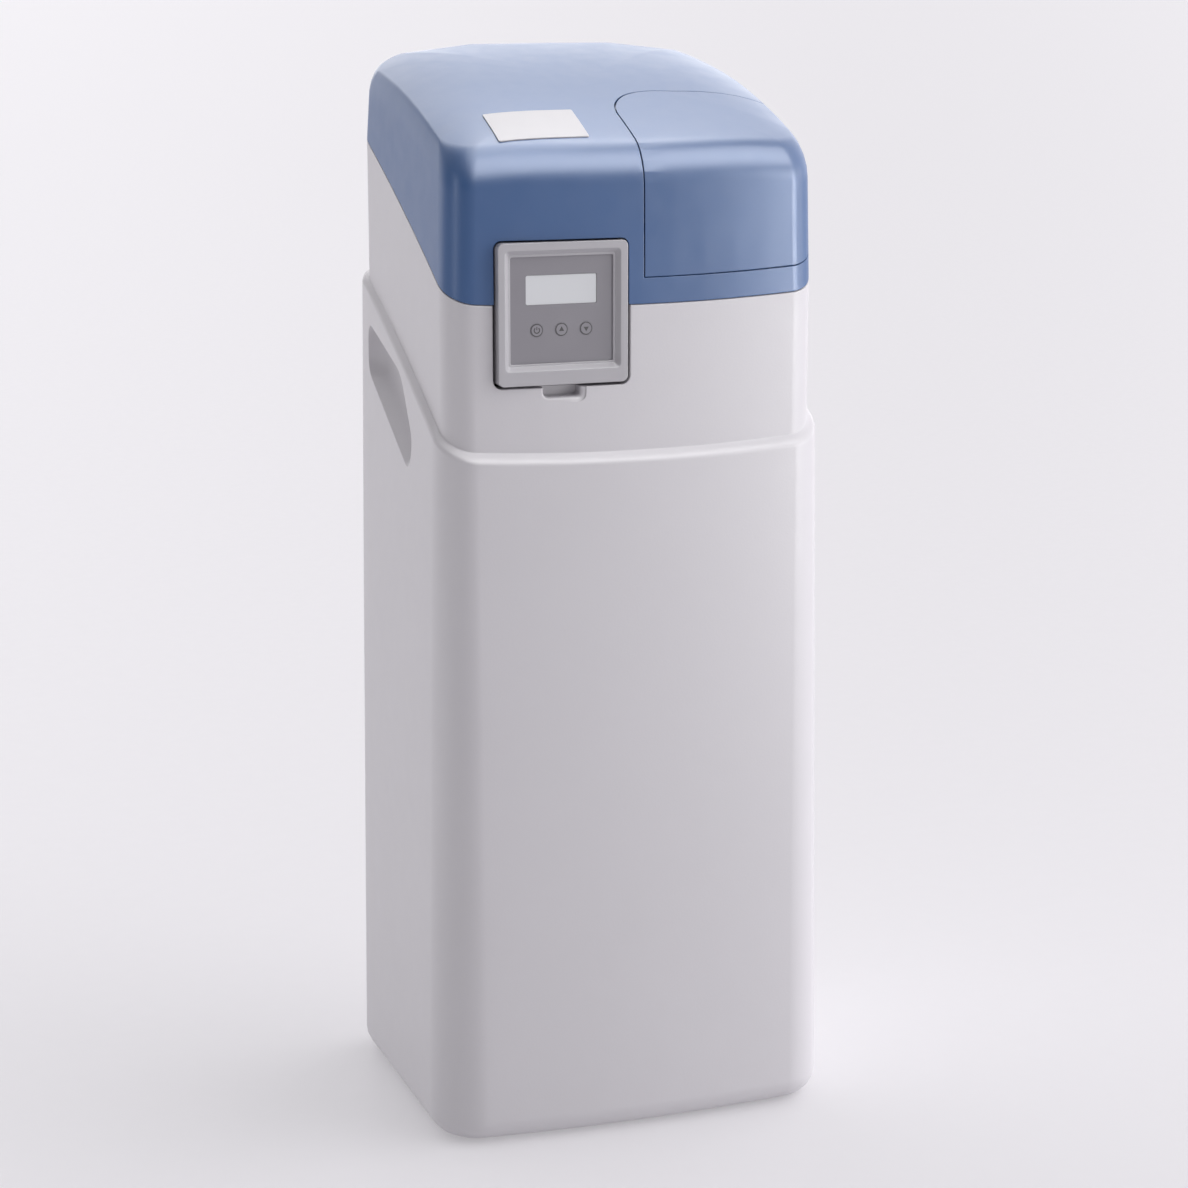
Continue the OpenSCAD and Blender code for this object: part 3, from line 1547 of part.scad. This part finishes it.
module well_cap() {
    plug_d = well_d - 2 * well_wall - 2 * fit;
    color(shell_grey)
        difference() {
            union() {
                rod_z([well_x, well_y, well_top], well_d + 2 * cap_lip, cap_t);
                rod_z([well_x, well_y, well_top - plug_h], plug_d, plug_h + bite);
            }
            rod_z([well_x, well_y, well_top - plug_h - bite], plug_d - 2 * cap_t, plug_h);
            rod_z([well_x, well_y, well_top - plug_h], pickup_d + 2 * fit, plug_h + cap_t + bite);
        }
}

// Pick-up valve: an air check in its cage at the foot of a tube
cage_d = 38;
cage_h = 60;
line_socket = 18;
stop_w = 4;
stop_t = 4;

module pickup_valve() {
    cage_wall = 1;
    cage_bore = pickup_d - 2 * cage_wall;
    tube_low = floor_t + cage_h - bite;
    color(pale_grey) {
        on_well_axis(floor_t)
            basket(cage_d, cage_bore, cage_h, 12);
        difference() {
            rod_z([well_x, well_y, tube_low], pickup_d, pickup_top - tube_low);
            rod_z([well_x, well_y, pickup_top - line_socket], line_d + 2 * fit, line_socket + bite);
        }
        for (z = [float_low - stop_t - touch_gap, float_low + float_h + float_travel + touch_gap])
            rod_z([well_x, well_y, z], pickup_d + 2 * stop_w, stop_t);
    }
}

module on_well_axis(z) {
    translate([well_x, well_y, z])
        children();
}

// The float slides on the pick-up tube between two stops
float_up = 180;
float_low = floor_t + cage_h + float_up;
float_travel = 60;

module float() {
    edge = 4;
    slide_gap = 0.3;
    color(gear_white)
        on_well_axis(float_low)
            rotate_extrude()
                difference() {
                    union() {
                        translate([0, edge])
                            square([float_d / 2, float_h - 2 * edge]);
                        square([float_d / 2 - edge, float_h]);
                        for (z = [edge, float_h - edge])
                            translate([float_d / 2 - edge, z])
                                circle(edge);
                    }
                    translate([-float_d, -bite])
                        square([float_d + pickup_d / 2 + slide_gap, float_h + 2 * bite]);
                }
}

// Brine line: a tube from the brine elbow over and down into the pick-up tube
line_from = [boss_end + line_stop + bite, brine_y, valve_z];
line_to = [well_x, well_y, pickup_top - line_socket + bite];
function bend(p, q, r, s, t) = pow(1 - t, 3) * p + 3 * t * pow(1 - t, 2) * q
    + 3 * t * t * (1 - t) * r + pow(t, 3) * s;
line_rings = 18;
line_sides = 8;
line_pull = 60;
line_out = line_from + [elbow_len + nut_len - line_stop, 0, 0];
line_in = line_to + [0, 0, line_socket + bite];
line_path = concat([line_from],
    [for (i = [0 : line_rings])
        bend(line_out, line_from + [line_pull, 0, 0], line_to + [0, 0, line_pull], line_in,
            i / line_rings)],
    [line_to]);

function unit(v) = v / norm(v);
module sweep(path, d, sides) {
    last = len(path) - 1;
    up = [0, 1, 0];
    rings = [for (i = [0 : last])
        let (dir = unit(path[min(i + 1, last)] - path[max(i - 1, 0)]))
        let (u = unit(cross(up, dir)), v = cross(dir, u))
        [for (k = [0 : sides - 1]) let (a = 360 * k / sides)
            path[i] + d / 2 * (cos(a) * u + sin(a) * v)]];
    skin(path[0], rings, path[last]);
}

module brine_line() {
    color(line_white)
        sweep(line_path, line_d, line_sides);
}

// Overflow: a barbed tail through the back wall with a nut inside
tail_flange_d = 28;
tail_nut_t = 5;

module overflow_elbow() {
    tail_flange_t = 4;
    tail_len = 24;
    outside = back_y + rest_gap;
    inside = back_y - wall - tail_nut_t - 2 * bite;
    color(valve_black)
        difference() {
            union() {
                rod_y([well_x, inside, overflow_h], overflow_tail_d, outside - inside + bite);
                rod_y([well_x, outside, overflow_h], tail_flange_d, tail_flange_t);
                barb([well_x, outside + tail_flange_t - bite, overflow_h], tail_len, barb_d);
            }
            rod_y([well_x, inside - bite, overflow_h], barb_d - 2 * barb_wall, far);
        }
}

module overflow_nut() {
    y = back_y - wall - tail_nut_t - touch_gap;
    color(valve_black)
        difference() {
            translate([well_x, y, overflow_h])
                rotate([-90, 0, 0])
                    cylinder(d = tail_flange_d, h = tail_nut_t, $fn = 6);
            rod_y([well_x, y - bite, overflow_h], overflow_tail_d + 2 * run_gap, tail_nut_t + 2 * bite);
        }
}

// Rubber ring in the back wall for the low-voltage lead
module lead_grommet() {
    lip = 2;
    lip_d = lead_hole_d + 3 * lip;
    inside = back_y - wall - lip - touch_gap;
    outside = back_y + touch_gap;
    color(valve_black)
        difference() {
            union() {
                rod_y([lead_x, inside, lead_z], lead_hole_d - 2 * fit, outside + lip - inside);
                rod_y([lead_x, inside, lead_z], lip_d, lip);
                rod_y([lead_x, outside, lead_z], lip_d, lip);
            }
            rod_y([lead_x, inside - bite, lead_z], lead_hole_d - 3 * lip, far);
        }
}

cabinet();
lid_cover();
badge_plate();
salt_flap();
hinge_pins();
bezel();
fascia_panel();
display_window();
circuit_board();
power_button();
up_button();
down_button();
drive_bracket();
drive_motor();
motor_pinion();
reduction_gear();
drive_gear();
bezel_screws();
valve_body();
seal_stack();
piston();
injector_cap();
brine_elbow();
drain_elbow();
inlet_connector();
outlet_connector();
flow_turbine();
tank_o_ring();
resin_tank();
tank_boot();
resin_bed();
riser_tube();
bottom_strainer();
top_strainer();
salt_platform();
brine_well();
well_cap();
pickup_valve();
float();
brine_line();
overflow_elbow();
overflow_nut();
lead_grommet();
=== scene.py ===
# %% [markdown]
# # A cabinet water softener, dressed for its portrait
#
# The object is a tall moulded cabinet with a blue lid, a small control head and the softener's works
# inside. The CAD model already holds every piece in its place, so this lesson adds what a solid lacks:
# a camera, smooth moulded skins, procedural materials, small printed signs and a plain studio.
# Lengths are in metres in the model's own frame: +Z is up and the front looks towards -Y.

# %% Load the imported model
import json
import math

import bmesh
import bpy
from mathutils import Matrix, Vector


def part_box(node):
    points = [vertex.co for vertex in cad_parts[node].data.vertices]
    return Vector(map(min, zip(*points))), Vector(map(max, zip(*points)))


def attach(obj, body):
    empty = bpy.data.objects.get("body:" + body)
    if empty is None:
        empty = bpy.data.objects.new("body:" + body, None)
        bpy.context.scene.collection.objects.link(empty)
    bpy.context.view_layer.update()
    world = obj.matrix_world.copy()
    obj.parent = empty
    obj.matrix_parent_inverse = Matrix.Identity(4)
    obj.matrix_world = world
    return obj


MM = 0.001
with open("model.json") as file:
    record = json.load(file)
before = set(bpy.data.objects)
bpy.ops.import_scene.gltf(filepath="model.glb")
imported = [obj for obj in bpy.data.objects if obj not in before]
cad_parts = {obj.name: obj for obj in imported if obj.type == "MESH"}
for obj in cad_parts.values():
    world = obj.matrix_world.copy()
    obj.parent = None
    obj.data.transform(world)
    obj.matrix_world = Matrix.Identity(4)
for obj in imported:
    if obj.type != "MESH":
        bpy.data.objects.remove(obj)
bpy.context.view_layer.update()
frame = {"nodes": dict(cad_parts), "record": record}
nodes = frame["nodes"]

# %% [markdown]
# ## Camera
#
# The portrait shows the front and some of the left side from a little above the lid. A short lens close
# by would make the cabinet's upright edges lean more, so a long lens stands well back. The picture is
# square, and its width sets the view.

# %% Place the camera
CAMERA_PLACE = (-0.742, -2.126, 0.904)
CAMERA_TILT = math.radians(77.32)
CAMERA_TURN = math.radians(-19.43)
camera_data = bpy.data.cameras.new("camera")
camera_data.sensor_fit = "HORIZONTAL"
camera_data.sensor_width = 36
camera_data.lens = 87.97
camera_data.clip_end = 200
camera = bpy.data.objects.new("camera", camera_data)
camera.location = CAMERA_PLACE
camera.rotation_euler = (CAMERA_TILT, 0, CAMERA_TURN)
bpy.context.scene.collection.objects.link(camera)
bpy.context.scene.camera = camera
print("camera at", CAMERA_PLACE, "with a lens of", round(camera_data.lens), "mm")

# %% [markdown]
# ## A bare material and its noise
#
# Nearly every piece is moulded plastic, so all finishes share one recipe. It starts from an empty node
# tree with a principled shader. The noises read Object coordinates in metres, so a scale of 600 gives
# spots of about 1.7 mm on every piece, whatever its size. UV maps would do as well, but a CAD solid has
# none.

# %% Helpers for node trees
NOISE_LOW, NOISE_HIGH = 0.3, 0.7


def new_material(name):
    material = bpy.data.materials.new(name)
    material.use_nodes = True
    tree = material.node_tree
    tree.nodes.clear()
    output = tree.nodes.new("ShaderNodeOutputMaterial")
    shader = tree.nodes.new("ShaderNodeBsdfPrincipled")
    tree.links.new(shader.outputs["BSDF"], output.inputs["Surface"])
    return material, tree, shader


def noise(tree, scale, detail, stretch=(1, 1, 1)):
    place = tree.nodes.new("ShaderNodeTexCoord")
    mapping = tree.nodes.new("ShaderNodeMapping")
    mapping.inputs["Scale"].default_value = stretch
    texture = tree.nodes.new("ShaderNodeTexNoise")
    texture.inputs["Scale"].default_value = scale
    texture.inputs["Detail"].default_value = detail
    tree.links.new(place.outputs["Object"], mapping.inputs["Vector"])
    tree.links.new(mapping.outputs["Vector"], texture.inputs["Vector"])
    return texture.outputs["Fac"]


def spread(tree, value, low, high):
    """Maps the middle of a noise, where most of its values lie, onto the range from low to high."""
    ramp = tree.nodes.new("ShaderNodeMapRange")
    ramp.inputs["From Min"].default_value = NOISE_LOW
    ramp.inputs["From Max"].default_value = NOISE_HIGH
    ramp.inputs["To Min"].default_value = low
    ramp.inputs["To Max"].default_value = high
    tree.links.new(value, ramp.inputs["Value"])
    return ramp.outputs["Result"]


print("spots at a noise scale of 600:", round(1 / 600 / MM, 1), "mm")

# %% [markdown]
# ## Moulded plastic
#
# Real mouldings are never one flat colour. A broad noise drifts the colour by a few percent and another
# drifts the roughness. A fine noise is the grain that the mould leaves, as bump. Sharp CAD edges look cut
# from paper, so a Bevel node rounds their shading by about a millimetre or less and the real edge stays
# where it is. The cabinet comes first: a pale grey with a soft grain.

# %% The moulded finish
DRIFT_SCALE, WEAR_SCALE = 14, 60
WEAR = 0.06
GRAIN_HEIGHT = 0.1 * MM
finishes = {}


def moulded(name, colour, rough, grain, bump, drift, edge, metal=0.0, stretch=(1, 1, 1)):
    """The grain is a noise scale, the drift a share of the colour and the edge a radius in millimetres."""
    material, tree, shader = new_material(name)
    shade = tree.nodes.new("ShaderNodeMix")
    shade.data_type = "RGBA"
    shade.inputs["A"].default_value = (*[c * (1 - drift) for c in colour], 1)
    shade.inputs["B"].default_value = (*[min(1, c * (1 + drift)) for c in colour], 1)
    tree.links.new(noise(tree, DRIFT_SCALE, detail=4), shade.inputs["Factor"])
    tree.links.new(shade.outputs["Result"], shader.inputs["Base Color"])
    worn = spread(tree, noise(tree, WEAR_SCALE, detail=2), rough * (1 - WEAR), rough * (1 + WEAR))
    tree.links.new(worn, shader.inputs["Roughness"])
    shader.inputs["Metallic"].default_value = metal
    bevel = tree.nodes.new("ShaderNodeBevel")
    bevel.samples = 6
    bevel.inputs["Radius"].default_value = edge * MM
    relief = tree.nodes.new("ShaderNodeBump")
    relief.inputs["Strength"].default_value = bump
    relief.inputs["Distance"].default_value = GRAIN_HEIGHT
    tree.links.new(noise(tree, grain, detail=2, stretch=stretch), relief.inputs["Height"])
    tree.links.new(bevel.outputs["Normal"], relief.inputs["Normal"])
    tree.links.new(relief.outputs["Normal"], shader.inputs["Normal"])
    return material


def finish(name, colour, **feel):
    finishes[name] = moulded(name, colour, **feel)


finish("cabinet_plastic", (0.60, 0.585, 0.61), rough=0.46, grain=620, bump=0.5, drift=0.015, edge=1.4)
print("nodes in the cabinet's finish:", len(finishes["cabinet_plastic"].node_tree.nodes))

# %% [markdown]
# ## The other finishes outside
#
# The record names a material slot for each piece, and each slot gets one finish. The lid is a satin blue
# and the control head a mid grey, with a darker film round its smooth display. The buttons share the
# film's colour and grain, so that only their printed signs show. The plate on the lid is pale and nearly
# smooth.

# %% Finishes of the lid and the control head
finish("lid_plastic", (0.047, 0.113, 0.272), rough=0.34, grain=900, bump=0.2, drift=0.03, edge=0.6)
finish("bezel_plastic", (0.41, 0.40, 0.425), rough=0.42, grain=1100, bump=0.15, drift=0.01, edge=1.0)
finish("fascia_film", (0.23, 0.22, 0.245), rough=0.38, grain=1600, bump=0.12, drift=0.01, edge=0.2)
finish("display", (0.70, 0.715, 0.735), rough=0.18, grain=300, bump=0.0, drift=0.01, edge=0.2)
finish("button_plastic", (0.23, 0.22, 0.245), rough=0.38, grain=1600, bump=0.12, drift=0.01, edge=0.15)
finish("badge", (0.47, 0.46, 0.48), rough=0.40, grain=900, bump=0.05, drift=0.01, edge=0.3)
print("outside finishes:", ", ".join(finishes))

# %% [markdown]
# ## The finishes inside
#
# Inside there are black and pale fittings, a green board, a wound tank, brown resin, rubber and steel.
# The same recipe serves them all. The wound tank and the brushed steel need lines, not spots, so their
# noise is squeezed along one axis, and only the steel is metallic.

# %% Finishes of the works, and the paint on the pieces
finish("board", (0.020, 0.11, 0.045), rough=0.35, grain=500, bump=0.1, drift=0.15, edge=0.2)
finish("valve_plastic", (0.018, 0.018, 0.020), rough=0.42, grain=800, bump=0.3, drift=0.10, edge=0.6)
finish("gear_plastic", (0.78, 0.76, 0.70), rough=0.38, grain=900, bump=0.1, drift=0.02, edge=0.2)
finish("pale_plastic", (0.62, 0.64, 0.66), rough=0.40, grain=700, bump=0.2, drift=0.03, edge=0.4)
finish("tank_shell", (0.055, 0.12, 0.22), rough=0.34, grain=260, bump=1.0, drift=0.12, edge=0.4,
       stretch=(1, 1, 9))
finish("resin", (0.30, 0.13, 0.035), rough=0.45, grain=1300, bump=3.0, drift=0.25, edge=0.2)
finish("seal_rubber", (0.012, 0.012, 0.013), rough=0.60, grain=900, bump=0.3, drift=0.10, edge=0.3)
finish("steel", (0.55, 0.56, 0.58), rough=0.28, grain=500, bump=0.2, drift=0.05, edge=0.2, metal=1.0,
       stretch=(1, 14, 1))

slot_of = {part["node"]: part["material_slot"] for part in frame["record"]["subparts"]}
for name, node in nodes.items():
    node.data.materials.clear()
    node.data.materials.append(finishes[slot_of[name]])
print("painted nodes:", len(slot_of), "with finishes:", len(finishes))

# %% [markdown]
# ## Smooth skins
#
# The cabinet, the lid and the control head are smooth mouldings, but a CAD skin arrives as flat facets
# with doubled corners. A subdivision would round them and move the surface. Three modifiers give the
# curves back without moving a vertex: one joins the doubles, one parts the mesh again along real edges,
# and one takes each corner's normal from the faces round it by their area. A large flat face then stays
# flat up to its rounding.

# %% Normals from the larger faces
DOUBLES_GAP = 0.002 * MM
EDGE_ANGLES = {
    "cabinet": 38,
    "lid_cover": 38,
    "salt_flap": 38,
    "badge_plate": 30,
    "bezel": 30,
    "fascia_panel": 30,
}
for name, angle in EDGE_ANGLES.items():
    node = nodes[name]
    for face in node.data.polygons:
        face.use_smooth = True
    weld = node.modifiers.new("join", "WELD")
    weld.merge_threshold = DOUBLES_GAP
    split = node.modifiers.new("edges", "EDGE_SPLIT")
    split.split_angle = math.radians(angle)
    weigh = node.modifiers.new("normals", "WEIGHTED_NORMAL")
    weigh.mode = "FACE_AREA_WITH_ANGLE"
print("smoothed:", ", ".join(EDGE_ANGLES))

# %% [markdown]
# ## Printed signs
#
# Each button carries a thin printed ring round a plain sign: power, up or down. A picture on the button
# would be quick, but it blurs close up and needs a file, so the ink is a thin sheet of real faces. A sign
# is drawn flat in X and Y. `bridge_loops` makes the closed ring from two circles, `spin` sweeps the open
# one, and a circle of three corners is an arrow.

# %% The signs, drawn flat
RING_INNER, RING_OUTER = 4.05 * MM, 4.62 * MM
ARROW_REACH = 2.3 * MM


def ring(mesh):
    """Drawn first, while the mesh holds nothing but the two circles to bridge."""
    for radius in (RING_INNER, RING_OUTER):
        bmesh.ops.create_circle(mesh, segments=64, radius=radius)
    bmesh.ops.bridge_loops(mesh, edges=mesh.edges[:])


def power_sign(mesh):
    half_width, radius, gap = 0.42 * MM, 2.05 * MM, math.radians(38)
    bar_half_width, bar_half_length, bar_middle = 0.336 * MM, 1.2 * MM, 1.35 * MM
    start = Matrix.Rotation(math.pi / 2 + gap, 3, "Z")
    ends = [mesh.verts.new(start @ Vector((radius + s * half_width, 0, 0))) for s in (-1, 1)]
    edge = mesh.edges.new(ends)
    bmesh.ops.spin(mesh, geom=[*ends, edge], cent=(0, 0, 0), axis=(0, 0, 1), angle=math.tau - 2 * gap,
                   steps=48)
    bar = bmesh.ops.create_grid(mesh, x_segments=1, y_segments=1, size=1)["verts"]
    bmesh.ops.scale(mesh, verts=bar, vec=(bar_half_width, bar_half_length, 1))
    bmesh.ops.translate(mesh, verts=bar, vec=(0, bar_middle, 0))


def up_sign(mesh):
    bmesh.ops.create_circle(mesh, cap_ends=True, segments=3, radius=ARROW_REACH)


def down_sign(mesh):
    half_turn = Matrix.Rotation(math.pi, 4, "Z")
    bmesh.ops.create_circle(mesh, cap_ends=True, segments=3, radius=ARROW_REACH, matrix=half_turn)


SIGNS = {"power": power_sign, "up": up_sign, "down": down_sign}
print("signs:", ", ".join(SIGNS))

# %% [markdown]
# ## Ink on the buttons
#
# Real ink is a few hundredths of a millimetre thick. Two faces in one plane would flicker, so each flat
# sign is turned to face the front and laid a hair's breadth before its button. It rides on the button's
# body, because the ink has to go in with the button when it is pressed.

# %% Lay the signs on the buttons
INK = 0.03 * MM
print_ink = moulded("print_ink", (0.035, 0.033, 0.038), rough=0.55, grain=1200, bump=0.1, drift=0.05,
                    edge=0.05)


def printed(name, button, body, sign):
    low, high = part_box(button)
    mesh = bmesh.new()
    ring(mesh)
    sign(mesh)
    bmesh.ops.recalc_face_normals(mesh, faces=mesh.faces)
    for face in mesh.faces:
        if face.normal.z < 0:
            face.normal_flip()
    place = Vector(((low.x + high.x) / 2, low.y - INK, (low.z + high.z) / 2))
    mesh.transform(Matrix.Translation(place) @ Matrix.Rotation(math.pi / 2, 4, "X"))
    data = bpy.data.meshes.new(name)
    mesh.to_mesh(data)
    mesh.free()
    data.materials.append(print_ink)
    piece = bpy.data.objects.new(name, data)
    bpy.context.scene.collection.objects.link(piece)
    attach(piece, body)
    print(name, "faces:", len(data.polygons))


for key, sign in SIGNS.items():
    printed(f"{key}_print", f"{key}_button", f"{key}_key", sign)

# %% [markdown]
# ## Studio floor
#
# One sheet of pale paper runs far out and fills the background, so the portrait has no horizon line. A
# curved backdrop would do the same, but it shows as a wall from behind. The paper glows a little by itself.
# That keeps the shadow round the cabinet soft, as many lamps in a white room would.

# %% The paper
FLOOR_REACH = 80
paper = moulded("floor_paper", (0.575, 0.565, 0.582), rough=0.42, grain=40, bump=0.0, drift=0.004, edge=0.1)
glow = paper.node_tree.nodes["Principled BSDF"]
glow.inputs["Specular IOR Level"].default_value = 0.15
glow.inputs["Emission Color"].default_value = (0.99, 0.975, 1.0, 1)
glow.inputs["Emission Strength"].default_value = 0.26
floor_data = bpy.data.meshes.new("floor")
floor_mesh = bmesh.new()
bmesh.ops.create_grid(floor_mesh, x_segments=1, y_segments=1, size=FLOOR_REACH)
floor_mesh.to_mesh(floor_data)
floor_mesh.free()
floor_data.materials.append(paper)
floor = bpy.data.objects.new("floor", floor_data)
bpy.context.scene.collection.objects.link(floor)
print("floor paper reaches", FLOOR_REACH, "m each way")

# %% [markdown]
# ## Sky
#
# The room's soft light is drawn on the sky as broad round patches: bright on the right, where a window
# would be, weaker at the front right and behind, and a pale ceiling. An even sky would light all sides
# alike. None of the patches lies in front on the left, which darkens the cabinet's near corner.

# %% Patches of light on the sky
AMBIENT = 0.03
world = bpy.data.worlds.new("studio")
world.use_nodes = True
sky = world.node_tree
background = sky.nodes["Background"]
view = sky.nodes.new("ShaderNodeTexCoord").outputs["Generated"]


def patch(total, towards, inner, outer, strength):
    """Adds a round patch to the light so far: full within the inner angle and none past the outer one."""
    dot = sky.nodes.new("ShaderNodeVectorMath")
    dot.operation = "DOT_PRODUCT"
    dot.inputs[1].default_value = Vector(towards).normalized()
    sky.links.new(view, dot.inputs[0])
    ramp = sky.nodes.new("ShaderNodeMapRange")
    ramp.interpolation_type = "SMOOTHSTEP"
    ramp.inputs["From Min"].default_value = math.cos(math.radians(outer))
    ramp.inputs["From Max"].default_value = math.cos(math.radians(inner))
    ramp.inputs["To Max"].default_value = strength
    sky.links.new(dot.outputs["Value"], ramp.inputs["Value"])
    add = sky.nodes.new("ShaderNodeMath")
    add.operation = "ADD"
    sky.links.new(ramp.outputs["Result"], add.inputs[0])
    if isinstance(total, float):
        add.inputs[1].default_value = total
    else:
        sky.links.new(total, add.inputs[1])
    return add.outputs["Value"]


light = patch(AMBIENT, (1, 0, 0.3), inner=15, outer=65, strength=1.75)
light = patch(light, (0.6, -0.75, 0.3), inner=15, outer=65, strength=0.58)
light = patch(light, (-0.5, 0.8, 0.3), inner=15, outer=60, strength=0.92)
light = patch(light, (0.3, 0.9, 0.25), inner=15, outer=60, strength=0.55)
light = patch(light, (0, -0.1, 1), inner=38, outer=58, strength=0.43)
sky.links.new(light, background.inputs["Strength"])
background.inputs["Color"].default_value = (0.985, 0.972, 1.0, 1)
bpy.context.scene.world = world
print("sky nodes:", len(sky.nodes))

# %% [markdown]
# ## Lamps
#
# The lamps light the object alone, so the floor keeps its even tone: light linking leaves the floor out.
# Two large ones shape the cabinet from the sides, and two low ones stand for light thrown back by the
# floor. The others are soft boxes that show only in the gloss. They draw the band along the lid's front
# edge, the pale top and the sheen on the right of the front, and add nothing to the plain colours.

# %% Place the lamps
lit = bpy.data.collections.new("all_but_floor")
lit.objects.link(floor)
lit.collection_objects[0].light_linking.link_state = "EXCLUDE"


def lamp(name, place, target, size, power, gloss_only=False):
    data = bpy.data.lights.new(name, "AREA")
    data.shape = "RECTANGLE"
    data.size, data.size_y = size
    data.energy = power
    piece = bpy.data.objects.new(name, data)
    piece.location = place
    piece.rotation_euler = (Vector(target) - Vector(place)).to_track_quat("-Z", "Y").to_euler()
    piece.light_linking.receiver_collection = lit
    piece.visible_diffuse = not gloss_only
    bpy.context.scene.collection.objects.link(piece)


LID, HEAD, MIDDLE = (0, 0, 0.76), (0, -0.1, 0.72), (0, -0.05, 0.42)
LOW_SIDE, LOW_FRONT = (-0.15, 0, 0.25), (0, -0.1, 0.25)
lamp("right_side", (1.347, -0.411, 0.542), MIDDLE, size=(0.6, 1.3), power=5.7)
lamp("left_back", (-1.184, 0.943, 0.834), MIDDLE, size=(0.8, 1.3), power=2.4)
lamp("low_left", (-1.2, 0.1, 0.06), LOW_SIDE, size=(1.0, 0.3), power=1.9)
lamp("low_front", (0.3, -1.3, 0.06), LOW_FRONT, size=(1.2, 0.3), power=1.3)
lamp("gloss_front_edge", (0.45, -0.95, 1.85), LID, size=(1.8, 0.9), power=48, gloss_only=True)
lamp("gloss_overhead", (0.1, -0.05, 2.0), LID, size=(1.6, 0.7), power=24, gloss_only=True)
lamp("gloss_over_back", (0.2, 0.75, 1.9), LID, size=(1.6, 0.8), power=10, gloss_only=True)
lamp("gloss_back", (0.5, 1.6, 1.35), LID, size=(2.0, 0.9), power=9.5, gloss_only=True)
lamp("gloss_right", (1.263, -1.238, 0.72), HEAD, size=(0.45, 1.2), power=33, gloss_only=True)
lamp("gloss_left", (-1.573, -0.673, 1.015), HEAD, size=(0.3, 1.2), power=4, gloss_only=True)
bpy.context.scene.view_settings.view_transform = "Standard"
